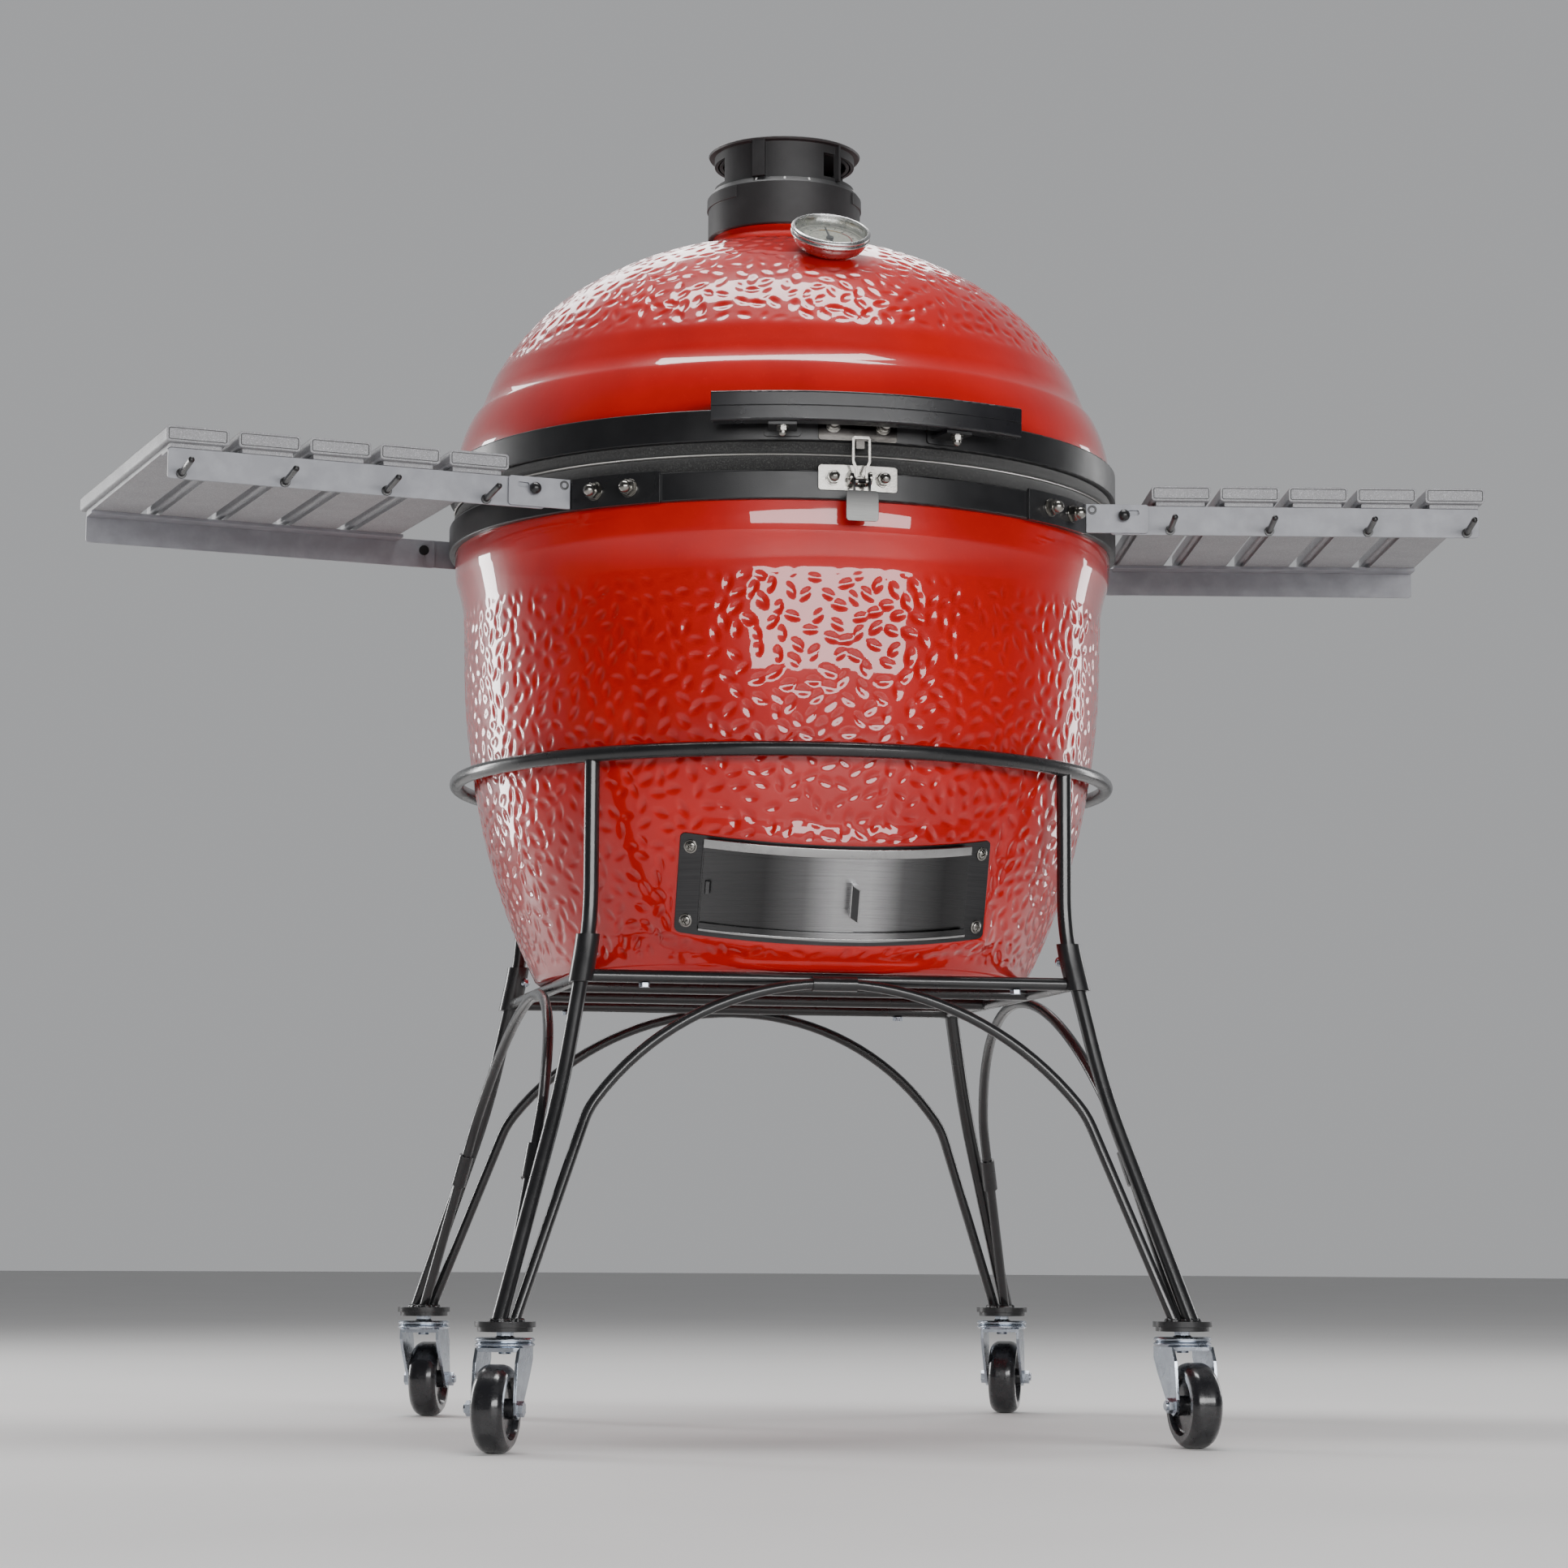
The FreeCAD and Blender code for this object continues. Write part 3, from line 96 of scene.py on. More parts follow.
def resample(points, step):
    """Evenly spaced points along a polyline, with both ends kept."""
    length = np.concatenate([[0], np.cumsum(np.linalg.norm(np.diff(points, axis=0), axis=1))])
    count = max(2, int(round(length[-1] / step)) + 1)
    at = np.linspace(0, length[-1], count)
    return np.stack([np.interp(at, length, points[:, k]) for k in range(points.shape[1])], axis=1)


def finish_mesh(name, mesh, body, material, smooth_angle=None):
    """Object in the scene that rides on its body, with its material and slot set."""
    mesh.polygons.foreach_set("use_smooth", np.ones(len(mesh.polygons), bool))
    if smooth_angle is not None:
        mesh.set_sharp_from_angle(angle=math.radians(smooth_angle))
    mesh.materials.append(material)
    piece = bpy.data.objects.new(name, mesh)
    bpy.context.scene.collection.objects.link(piece)
    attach(piece, body)
    return piece


def mesh_of(name, points, quads):
    mesh = bpy.data.meshes.new(name)
    mesh.vertices.add(len(points))
    mesh.vertices.foreach_set("co", np.asarray(points, np.float32).ravel())
    mesh.loops.add(quads.size)
    mesh.loops.foreach_set("vertex_index", quads.astype(np.int32).ravel())
    mesh.polygons.add(len(quads))
    mesh.polygons.foreach_set("loop_start", np.arange(0, quads.size, 4, dtype=np.int32))
    mesh.update(calc_edges=True)
    mesh.validate()
    return mesh


def ring_quads(rows, columns, closed_rows=False, keep=None):
    """Quads of a grid of rows that each close on themselves."""
    index = np.arange(rows * columns).reshape(rows, columns)
    below = index if closed_rows else index[:-1]
    above = np.roll(index, -1, axis=0) if closed_rows else index[1:]
    quads = np.stack([below, np.roll(below, -1, axis=1), np.roll(above, -1, axis=1), above], axis=2)
    if keep is not None:
        quads = quads[keep]
    return quads.reshape(-1, 4)


def turned(name, outline, body, material, columns=256, place=None, smooth_angle=40, closed=True):
    """Solid of revolution about Z from a profile that runs anticlockwise in (r, z)."""
    turn = np.linspace(0, 2 * math.pi, columns, endpoint=False)
    r = outline[:, 0][:, None]
    z = np.repeat(outline[:, 1][:, None], columns, axis=1)
    points = np.stack([r * np.cos(turn), r * np.sin(turn), z], axis=2).reshape(-1, 3)
    if place is not None:
        points = points @ np.array(place.to_3x3()).T + np.array(place.translation)
    mesh = mesh_of(name, points, ring_quads(len(outline), columns, closed))
    return finish_mesh(name, mesh, body, material, smooth_angle)


class Shape:
    """Points and faces gathered into one small mesh."""

    def __init__(self):
        self.points = []
        self.faces = []

    def loft(self, rings, closed=False):
        """Skin through rings of equal length, capped at both ends unless it closes on itself."""
        first = len(self.points)
        size = len(rings[0])
        count = len(rings)
        for ring in rings:
            self.points.extend(tuple(point) for point in ring)
        for i in range(count if closed else count - 1):
            a = first + i * size
            b = first + (i + 1) % count * size
            for j in range(size):
                k = (j + 1) % size
                self.faces.append((a + j, a + k, b + k, b + j))
        if not closed:
            self.faces.append(tuple(range(first + size - 1, first - 1, -1)))
            self.faces.append(tuple(range(first + (count - 1) * size, first + count * size)))

    def piece(self, name, body, slot, place=None, smooth_angle=35):
        mesh = bpy.data.meshes.new(name)
        mesh.from_pydata(self.points, [], self.faces)
        if place is not None:
            mesh.transform(place)
        build = bmesh.new()
        build.from_mesh(mesh)
        bmesh.ops.recalc_face_normals(build, faces=build.faces)
        build.to_mesh(mesh)
        build.free()
        return finish_mesh(name, mesh, body, MATERIALS[slot], smooth_angle)


def rounded(width, height, radius, steps=4):
    """Rectangle with round corners about the origin."""
    ring = []
    for k, (sx, sy) in enumerate(((1, 1), (-1, 1), (-1, -1), (1, -1))):
        for i in range(steps + 1):
            t = math.pi / 2 * (k + i / steps)
            ring.append((sx * (width / 2 - radius) + radius * math.cos(t),
                         sy * (height / 2 - radius) + radius * math.sin(t)))
    return ring


def swept(path, section, across, closed=False):
    """Rings of a section carried along a path; across is the direction of the section's first axis."""
    across = Vector(across)
    rings = []
    count = len(path)
    for i, point in enumerate(path):
        before = path[i - 1] if closed or i else path[i]
        after = path[(i + 1) % count] if closed or i < count - 1 else path[i]
        forward = (Vector(after) - Vector(before)).normalized()
        side = (across - forward * across.dot(forward)).normalized()
        up = forward.cross(side)
        rings.append([Vector(point) + side * u + up * v for u, v in section])
    return rings


# ---- materials ----

def shader(name, color, metallic=0.0, roughness=0.5, coat=0.0, coat_roughness=0.03):
    material = bpy.data.materials.new(name)
    material.use_nodes = True
    bsdf = material.node_tree.nodes["Principled BSDF"]
    bsdf.inputs["Base Color"].default_value = (*color, 1)
    bsdf.inputs["Metallic"].default_value = metallic
    bsdf.inputs["Roughness"].default_value = roughness
    bsdf.inputs["Coat Weight"].default_value = coat
    bsdf.inputs["Coat Roughness"].default_value = coat_roughness
    return material, material.node_tree, bsdf


def add(tree, kind, **values):
    node = tree.nodes.new(kind)
    for key, value in values.items():
        setattr(node, key, value)
    return node


def stretched(tree, scale=(1, 1, 1)):
    """Object coordinates, scaled along each axis."""
    coordinates = add(tree, "ShaderNodeTexCoord")
    mapping = add(tree, "ShaderNodeMapping")
    mapping.inputs["Scale"].default_value = scale
    tree.links.new(coordinates.outputs["Object"], mapping.inputs["Vector"])
    return mapping.outputs["Vector"]


def noise(tree, scale, detail=3.0, stretch=(1, 1, 1), roughness=0.5, distortion=0.0):
    node = add(tree, "ShaderNodeTexNoise")
    node.inputs["Scale"].default_value = scale
    node.inputs["Detail"].default_value = detail
    node.inputs["Roughness"].default_value = roughness
    node.inputs["Distortion"].default_value = distortion
    tree.links.new(stretched(tree, stretch), node.inputs["Vector"])
    return node.outputs["Fac"]


def remap(tree, value, low, high, out_low, out_high):
    node = add(tree, "ShaderNodeMapRange")
    for key, number in (("From Min", low), ("From Max", high), ("To Min", out_low), ("To Max", out_high)):
        node.inputs[key].default_value = number
    tree.links.new(value, node.inputs["Value"])
    return node.outputs["Result"]


def blend_colors(tree, factor, first, second):
    node = add(tree, "ShaderNodeMix", data_type="RGBA")
    for socket, value in ((node.inputs[6], first), (node.inputs[7], second)):
        if isinstance(value, tuple):
            socket.default_value = (*value, 1)
        else:
            tree.links.new(value, socket)
    tree.links.new(factor, node.inputs[0])
    return node.outputs[2]


def roughen(tree, bsdf, value, low, high):
    """Roughness between low and high over the middle of a noise."""
    tree.links.new(remap(tree, value, 0.3, 0.7, low, high), bsdf.inputs["Roughness"])


def bumped(tree, bsdf, height, distance, strength=1.0, edge=0.0):
    """Bump from a height, over edges softened by a small radius."""
    node = add(tree, "ShaderNodeBump")
    node.inputs["Strength"].default_value = strength
    node.inputs["Distance"].default_value = distance
    tree.links.new(height, node.inputs["Height"])
    if edge:
        soft = add(tree, "ShaderNodeBevel", samples=4)
        soft.inputs["Radius"].default_value = edge
        tree.links.new(soft.outputs["Normal"], node.inputs["Normal"])
    tree.links.new(node.outputs["Normal"], bsdf.inputs["Normal"])


def red_glaze():
    material, tree, bsdf = shader("red_glaze", (0.45, 0.002, 0.001), roughness=0.34, coat=1.0,
                                  coat_roughness=0.02)
    bsdf.inputs["Coat IOR"].default_value = 1.5
    bsdf.inputs["Specular IOR Level"].default_value = 0.2
    cloud = noise(tree, 9.0, 4.0)
    speck = noise(tree, 260.0, 2.0)
    broad = blend_colors(tree, remap(tree, cloud, 0.35, 0.65, 0, 1),
                         (0.40, 0.0015, 0.001), (0.50, 0.003, 0.0015))
    # The glaze is drawn darker towards the bottom of each dimple.
    pit = add(tree, "ShaderNodeAttribute", attribute_name="pit")
    darker_in_pits = blend_colors(tree, remap(tree, pit.outputs["Fac"], 0.2, 1.0, 0, 0.4),
                          broad, (0.28, 0.001, 0.001))
    fine = blend_colors(tree, remap(tree, speck, 0.62, 0.72, 0, 0.2), darker_in_pits, (0.55, 0.010, 0.005))
    tree.links.new(fine, bsdf.inputs["Base Color"])
    waves = noise(tree, 46.0, 2.0)
    bumped(tree, bsdf, waves, 0.0006, 0.35)
    return material


def powder(name, color, roughness, grain=900.0, depth=0.00012, spread=0.06, coat=0.0, edge=0.0006):
    """Powder-coated metal: fine orange peel, slight mottling of the gloss, softened edges."""
    material, tree, bsdf = shader(name, color, roughness=roughness, coat=coat, coat_roughness=0.12)
    peel = noise(tree, grain, 2.0)
    roughen(tree, bsdf, noise(tree, 24.0, 3.0), roughness - spread, roughness + spread)
    light = tuple(min(1.0, c * 1.5 + 0.004) for c in color)
    tint = blend_colors(tree, remap(tree, noise(tree, 60.0, 4.0), 0.4, 0.75, 0, 0.5), color, light)
    tree.links.new(tint, bsdf.inputs["Base Color"])
    bumped(tree, bsdf, peel, depth, 0.5, edge)
    return material


def polished(name, color, low, high, grain=35.0, edge=0.0005):
    """Bright metal with handling marks that change its gloss."""
    material, tree, bsdf = shader(name, color, metallic=1.0, roughness=low)
    smear = noise(tree, grain, 5.0, roughness=0.65, distortion=0.6)
    roughen(tree, bsdf, smear, low, high)
    dull = tuple(c * 0.78 for c in color)
    tree.links.new(blend_colors(tree, remap(tree, noise(tree, 90.0, 4.0), 0.45, 0.7, 0, 0.6), color, dull),
                   bsdf.inputs["Base Color"])
    bumped(tree, bsdf, noise(tree, 420.0, 2.0), 0.00005, 0.4, edge)
    return material


def brushed(name, color, stretch, low=0.22, high=0.42, edge=0.0005):
    """Steel brushed along one direction: the stretch is small along it and large across it."""
    material, tree, bsdf = shader(name, color, metallic=1.0, roughness=0.3)
    lines = noise(tree, 1.0, 5.0, stretch, roughness=0.75)
    roughen(tree, bsdf, lines, low, high)
    dark = tuple(c * 0.62 for c in color)
    tree.links.new(blend_colors(tree, remap(tree, lines, 0.35, 0.68, 0, 1), dark, color),
                   bsdf.inputs["Base Color"])
    bumped(tree, bsdf, lines, 0.00012, 0.5, edge)
    return material


def sheen_steel():
    """Brushed steel of the curved draft door. The bright middle is painted on, not reflected."""
    material, tree, bsdf = shader("door_steel", (0.3, 0.3, 0.3), metallic=1.0, roughness=0.3)
    lines = noise(tree, 1.0, 5.0, (9, 9, 1900), roughness=0.75)
    roughen(tree, bsdf, lines, 0.22, 0.38)
    axes = add(tree, "ShaderNodeSeparateXYZ")
    tree.links.new(stretched(tree), axes.inputs["Vector"])
    across = remap(tree, axes.outputs["X"], -0.13, 0.13, 0, 1)
    ramp = add(tree, "ShaderNodeValToRGB")
    stops = ((0.0, 0.10), (0.22, 0.05), (0.36, 0.14), (0.47, 0.42),
             (0.60, 0.46), (0.72, 0.13), (0.88, 0.05), (1.0, 0.08))
    for place, _ in stops[1:-1]:
        ramp.color_ramp.elements.new(place)
    for element, (place, tone) in zip(ramp.color_ramp.elements, stops):
        element.position = place
        element.color = (tone, tone, tone * 1.02, 1)
    tree.links.new(across, ramp.inputs["Fac"])
    streaks = blend_colors(tree, remap(tree, lines, 0.3, 0.7, 0.25, 0.0),
                           ramp.outputs["Color"], (0.02, 0.02, 0.02))
    tree.links.new(streaks, bsdf.inputs["Base Color"])
    bumped(tree, bsdf, lines, 0.0001, 0.5, 0.0005)
    return material


TAB_DARK_Z = 0.866
TAB_BRIGHT_Z = 0.842


def tab_steel():
    """Steel of the latch lever, brushed crosswise, painted brighter towards its lower end."""
    material, tree, bsdf = shader("tab_steel", (0.15, 0.15, 0.15), metallic=1.0, roughness=0.3)
    lines = noise(tree, 1.0, 5.0, (14, 14, 900), roughness=0.75)
    roughen(tree, bsdf, lines, 0.26, 0.40)
    axes = add(tree, "ShaderNodeSeparateXYZ")
    tree.links.new(stretched(tree), axes.inputs["Vector"])
    down = remap(tree, axes.outputs["Z"], TAB_BRIGHT_Z, TAB_DARK_Z, 1, 0)
    sheen = blend_colors(tree, down, (0.008, 0.008, 0.009), (0.13, 0.13, 0.127))
    streaks = blend_colors(tree, remap(tree, lines, 0.3, 0.7, 0.3, 0.0), sheen, (0.02, 0.02, 0.02))
    tree.links.new(streaks, bsdf.inputs["Base Color"])
    bumped(tree, bsdf, lines, 0.0001, 0.5, 0.0005)
    return material


def speckled():
    """Pale grey moulded board with dark and light flecks."""
    material, tree, bsdf = shader("slat_grey", (0.40, 0.40, 0.42), roughness=0.46)
    flecks = add(tree, "ShaderNodeTexVoronoi")
    flecks.inputs["Scale"].default_value = 1500.0
    tree.links.new(stretched(tree), flecks.inputs["Vector"])
    grey = add(tree, "ShaderNodeSeparateColor")
    tree.links.new(flecks.outputs["Color"], grey.inputs["Color"])
    tone = blend_colors(tree, remap(tree, grey.outputs["Red"], 0.0, 1.0, 0, 1),
                        (0.20, 0.20, 0.21), (0.31, 0.31, 0.325))
    sparkle = blend_colors(tree, remap(tree, grey.outputs["Green"], 0.93, 0.97, 0, 0.6),
                           tone, (0.55, 0.55, 0.58))
    tree.links.new(sparkle, bsdf.inputs["Base Color"])
    roughen(tree, bsdf, noise(tree, 30.0, 3.0), 0.40, 0.52)
    bumped(tree, bsdf, noise(tree, 800.0, 2.0), 0.0001, 0.5, 0.0008)
    return material


def rough_stone(name, color, grain=120.0):
    material, tree, bsdf = shader(name, color, roughness=0.85)
    dark = tuple(c * 0.7 for c in color)
    tree.links.new(blend_colors(tree, remap(tree, noise(tree, grain, 6.0), 0.4, 0.65, 0, 1), color, dark),
                   bsdf.inputs["Base Color"])
    bumped(tree, bsdf, noise(tree, grain * 4, 4.0), 0.0005, 0.6)
    return material


def felt():
    material, tree, bsdf = shader("felt", (0.025, 0.024, 0.023), roughness=0.92)
    bsdf.inputs["Sheen Weight"].default_value = 0.4
    bsdf.inputs["Sheen Roughness"].default_value = 0.5
    fibre = noise(tree, 700.0, 5.0, roughness=0.8)
    tint = blend_colors(tree, remap(tree, fibre, 0.5, 0.75, 0, 1),
                        (0.012, 0.012, 0.012), (0.10, 0.098, 0.095))
    tree.links.new(tint, bsdf.inputs["Base Color"])
    bumped(tree, bsdf, fibre, 0.0008, 0.9)
    return material


def clear_glass():
    material, tree, bsdf = shader("clear_glass", (0.95, 0.98, 0.97), roughness=0.02)
    bsdf.inputs["Transmission Weight"].default_value = 1.0
    bsdf.inputs["IOR"].default_value = 1.46
    tree.links.new(remap(tree, noise(tree, 50.0, 4.0), 0.4, 0.8, 0.01, 0.05), bsdf.inputs["Roughness"])
    return material


def rubber():
    material, tree, bsdf = shader("wheel_rubber", (0.010, 0.010, 0.012), roughness=0.24, coat=0.5,
                                  coat_roughness=0.08)
    scuff = noise(tree, 70.0, 6.0, roughness=0.7)
    tint = blend_colors(tree, remap(tree, scuff, 0.5, 0.75, 0, 0.6),
                        (0.010, 0.010, 0.012), (0.035, 0.035, 0.037))
    tree.links.new(tint, bsdf.inputs["Base Color"])
    roughen(tree, bsdf, scuff, 0.18, 0.36)
    bumped(tree, bsdf, noise(tree, 500.0, 2.0), 0.0001, 0.5, 0.0008)
    return material


MATERIALS = {
    "red_glaze": red_glaze(),
    "band_black": powder("band_black", (0.007, 0.007, 0.008), 0.36, grain=1400.0, depth=0.0002),
    "felt": felt(),
    "fireclay": rough_stone("fireclay", (0.52, 0.44, 0.35)),
    "grate_iron": rough_stone("grate_iron", (0.045, 0.045, 0.047), 200.0),
    "steel_bright": polished("steel_bright", (0.58, 0.58, 0.60), 0.22, 0.40),
    "handle_satin": powder("handle_satin", (0.009, 0.009, 0.011), 0.30, grain=1500.0, spread=0.05),
    "nickel": polished("nickel", (0.30, 0.29, 0.27), 0.12, 0.28),
    "polished": polished("polished", (0.66, 0.66, 0.65), 0.20, 0.34),
    "dial": rough_stone("dial", (0.80, 0.76, 0.66), 400.0),
    "needle_black": powder("needle_black", (0.01, 0.01, 0.01), 0.45),
    "clear_glass": clear_glass(),
    "vent_iron": powder("vent_iron", (0.018, 0.018, 0.019), 0.50, grain=1100.0, depth=0.0002),
    "door_black": brushed("door_black", (0.085, 0.085, 0.088), (14, 14, 1500), 0.26, 0.42),
    "door_steel": sheen_steel(),
    "cart_black": powder("cart_black", (0.010, 0.010, 0.011), 0.28, grain=700.0, coat=0.3),
    "zinc": polished("zinc", (0.44, 0.48, 0.54), 0.16, 0.34, grain=60.0),
    "wheel_rubber": rubber(),
    "arm_grey": powder("arm_grey", (0.25, 0.255, 0.28), 0.44, grain=1300.0, spread=0.04),
    "slat_grey": speckled(),
    "peg_black": powder("peg_black", (0.012, 0.012, 0.013), 0.30),
    "cord_silver": polished("cord_silver", (0.55, 0.54, 0.52), 0.25, 0.45),
    "zone_amber": rough_stone("zone_amber", (0.62, 0.34, 0.04), 400.0),
    "zone_red": rough_stone("zone_red", (0.50, 0.04, 0.03), 400.0),
    "tab_steel": tab_steel(),
    # darker copy of nickel: painted shade on the latch striker
    "shaded_nickel": polished("shaded_nickel", (0.09, 0.085, 0.08), 0.12, 0.26),
    "rail_steel": polished("rail_steel", (0.40, 0.40, 0.40), 0.16, 0.30),
    # white of the painted highlights on the vent's collar
    "glint_white": rough_stone("glint_white", (0.80, 0.80, 0.78), 400.0),
}


# ---- glazed ceramic ----

def scatter(points, gap, usable, seed):
    """Grid positions at least a gap apart, from an even random scatter over the surface."""
    rows, columns = points.shape[:2]
    draw = np.random.default_rng(seed)
    weight = np.linalg.norm(points[:, 0, :2], axis=1) * usable
    choice = draw.choice(rows, size=90000, p=weight / weight.sum())
    turn = draw.integers(0, columns, size=choice.size)
    taken = {}
    spots = []
    for row, column in zip(choice, turn):
        here = points[row, column]
        cell = tuple((here // gap).astype(int))
        near = [taken.get((cell[0] + i, cell[1] + j, cell[2] + k), ())
                for i in (-1, 0, 1) for j in (-1, 0, 1) for k in (-1, 0, 1)]
        if all(np.dot(here - q, here - q) > gap * gap for group in near for q in group):
            taken.setdefault(cell, []).append(here)
            spots.append((row, column))
    return spots, draw


def dimples(points, usable, seed, gap=0.0132):
    """Depth from 0 to 1 of pressed oval dimples over a grid that closes round its columns."""
    rows, columns = points.shape[:2]
    depth = np.zeros((rows, columns))
    spots, draw = scatter(points, gap, usable, seed)
    reach = 0.0112
    for row, column in spots:
        half_length = draw.uniform(0.0088, 0.0108)
        half_width = half_length * draw.uniform(0.50, 0.60)
        lean = draw.uniform(0, math.pi)
        strength = draw.uniform(0.75, 1.0)
        radius = np.hypot(*points[row, column, :2])
        side = int(reach / (2 * math.pi * radius / columns)) + 1
        up = int(reach / GLAZE_STEP) + 1
        window_rows = np.arange(max(0, row - up), min(rows, row + up + 1))
        window_columns = np.arange(column - side, column + side + 1) % columns
        window = np.ix_(window_rows, window_columns)
        away = points[window] - points[row, column]
        turn = math.atan2(points[row, column, 1], points[row, column, 0])
        along = away @ np.array([-math.sin(turn), math.cos(turn), 0])
        outward = away @ np.array([math.cos(turn), math.sin(turn), 0])
        rise = np.hypot(outward, away[..., 2]) * np.sign(window_rows - row)[:, None]
        u = (along * math.cos(lean) + rise * math.sin(lean)) / half_length
        v = (rise * math.cos(lean) - along * math.sin(lean)) / half_width
        q = np.minimum(1, np.sqrt(u * u + v * v * (1 + 0.7 * u * u)))
        shape = strength * (1 - q * q) ** 1.5
        depth[window] = np.maximum(depth[window], shape)
    return depth


def smooth_step(value, low, high):
    t = np.clip((value - low) / (high - low), 0, 1)
    return t * t * (3 - 2 * t)


def grid_of(outline, columns):
    turn = np.linspace(0, 2 * math.pi, columns, endpoint=False) - math.pi / 2
    r = outline[:, 0][:, None]
    z = np.repeat(outline[:, 1][:, None], columns, axis=1)
    return np.stack([r * np.cos(turn), r * np.sin(turn), z], axis=2)


def grid_normals(points):
    round_way = np.roll(points, -1, axis=1) - np.roll(points, 1, axis=1)
    up_way = np.gradient(points, axis=0)
    normal = np.cross(round_way, up_way)
    return normal / np.maximum(np.linalg.norm(normal, axis=2, keepdims=True), 1e-12)


def store_depth(mesh, depth):
    attribute = mesh.attributes.new("pit", "FLOAT", "POINT")
    attribute.data.foreach_set("value", depth.astype(np.float32).ravel())


DIMPLE_DEPTH = 0.00125
DIMPLED_SHARE = 0.05     # rows with less than this much of the band get no dimple centres
DOME_SEED = 11
DOME_DIMPLES_Z = (1.030, 1.044, 1.158, 1.166)   # they fade in over the first two, out over the last two
DOME_LOWER_STEP = 0.0022
DOME_INNER_STEP = 0.008
RIDGE_HIGH = 0.0007      # soft ridge just above the rolled step of the dome
RIDGE_Z = 1.031
RIDGE_HALF = 0.009
GAUGE_CLEAR = (0.042, 0.048)   # the glaze is smooth this far round the thermometer


def build_dome():
    lower = profile((RIM_IN_R, DOME_RIM_Z), (0.3238, DOME_RIM_Z),
                    (CERAMIC_R, DOME_RIM_Z + 0.003), (CERAMIC_R, 0.944),
                    ((0.3225, 0.962), (0.3111, 0.9903)), ((0.3045, 0.999), (0.2995, 1.0095)))
    upper = profile((0.2995, 1.0095), ((0.257, 1.0785), (0.1972, 1.1261)),
                    ((0.1465, 1.1508), (0.096, 1.1655)),
                    ((0.0805, 1.1715), (0.072, 1.183)), (0.072, 1.204), count=60)
    inner = profile((0.050, 1.204), (0.050, 1.146), (0.085, 1.141), ((0.136, 1.127), (0.183, 1.104)),
                    ((0.259, 1.033), (RIM_IN_R, 0.950)))
    lower = resample(lower, DOME_LOWER_STEP)[:-1]
    upper = resample(upper, GLAZE_STEP)
    outline = np.concatenate([lower, upper, resample(inner, DOME_INNER_STEP)])
    first = len(lower)
    points = grid_of(outline, GLAZE_COLUMNS)
    normals = grid_normals(points)
    z = points[:, :, 2]
    outer = np.zeros(len(outline))
    outer[first:first + len(upper)] = 1
    band = smooth_step(z, *DOME_DIMPLES_Z[:2]) * (1 - smooth_step(z, *DOME_DIMPLES_Z[2:])) * outer[:, None]
    axis = np.array([0, -math.sin(GAUGE_TILT), math.cos(GAUGE_TILT)])
    offset = points - np.array(GAUGE_AT)
    aside = np.linalg.norm(offset - (offset @ axis)[..., None] * axis, axis=2)
    band *= smooth_step(aside, *GAUGE_CLEAR)
    depth = dimples(points, band.max(axis=1) > DIMPLED_SHARE, DOME_SEED) * band
    ridge = RIDGE_HIGH * np.exp(-((z - RIDGE_Z) / RIDGE_HALF) ** 2) * outer[:, None]
    points = points + normals * (ridge - DIMPLE_DEPTH * depth)[..., None]
    mesh = mesh_of("dome_shell", points.reshape(-1, 3), ring_quads(len(outline), GLAZE_COLUMNS, True))
    store_depth(mesh, depth)
    piece = finish_mesh("dome_shell", mesh, "lid", MATERIALS["red_glaze"], 50)
    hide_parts("dome")


def door_frame_coordinates(points):
    """Points in the frame of the leaning cylinder that carries the draft door."""
    t = DOOR_TILT
    middle = np.array([0, DOOR_Y + DOOR_R * math.cos(t), DOOR_MID_Z + DOOR_R * math.sin(t)])
    away = points - middle
    y = away[..., 1] * math.cos(t) + away[..., 2] * math.sin(t)
    z = -away[..., 1] * math.sin(t) + away[..., 2] * math.cos(t)
    return away[..., 0], y, z


SEAT_GAP = 0.0021        # the seat lies this far inside the draft door's cylinder
SEAT_BORDER = 0.020


def swell_to_seat(points):
    """Brings the surface round the draft door out to the leaning cylinder, with a soft border."""
    radius = DOOR_R - SEAT_GAP
    x, y, z = door_frame_coordinates(points)
    out_x = np.maximum(0, np.abs(x) - DOOR_HALF_W - 0.001)
    out_z = np.maximum(0, np.abs(z) - DOOR_HALF_H - 0.001)
    share = 1 - smooth_step(np.hypot(out_x, out_z), 0.0, SEAT_BORDER)
    share[y > 0] = 0
    target_y = -np.sqrt(np.maximum(1e-6, radius ** 2 - np.minimum(np.abs(x), radius * 0.99) ** 2))
    shift = (target_y - y) * share
    moved = points.copy()
    moved[..., 1] += shift * math.cos(DOOR_TILT)
    moved[..., 2] += shift * math.sin(DOOR_TILT)
    return moved, share


BOWL_SEED = 5
BOWL_DIMPLES_Z = (0.441, 0.452, 0.782, 0.797)   # as for the dome
BOWL_INNER_STEP = 0.006
BOWL_RIM_STEP = 0.0025
DOOR_ROWS_Z = (0.432, 0.446, 0.56, 0.62)        # where mesh columns are drawn upright for the mouth
DOOR_COLUMNS = (0.60, 1.10)                     # and how far round, in radians
COLUMN_R = 0.270                                # radius that spaces those upright columns


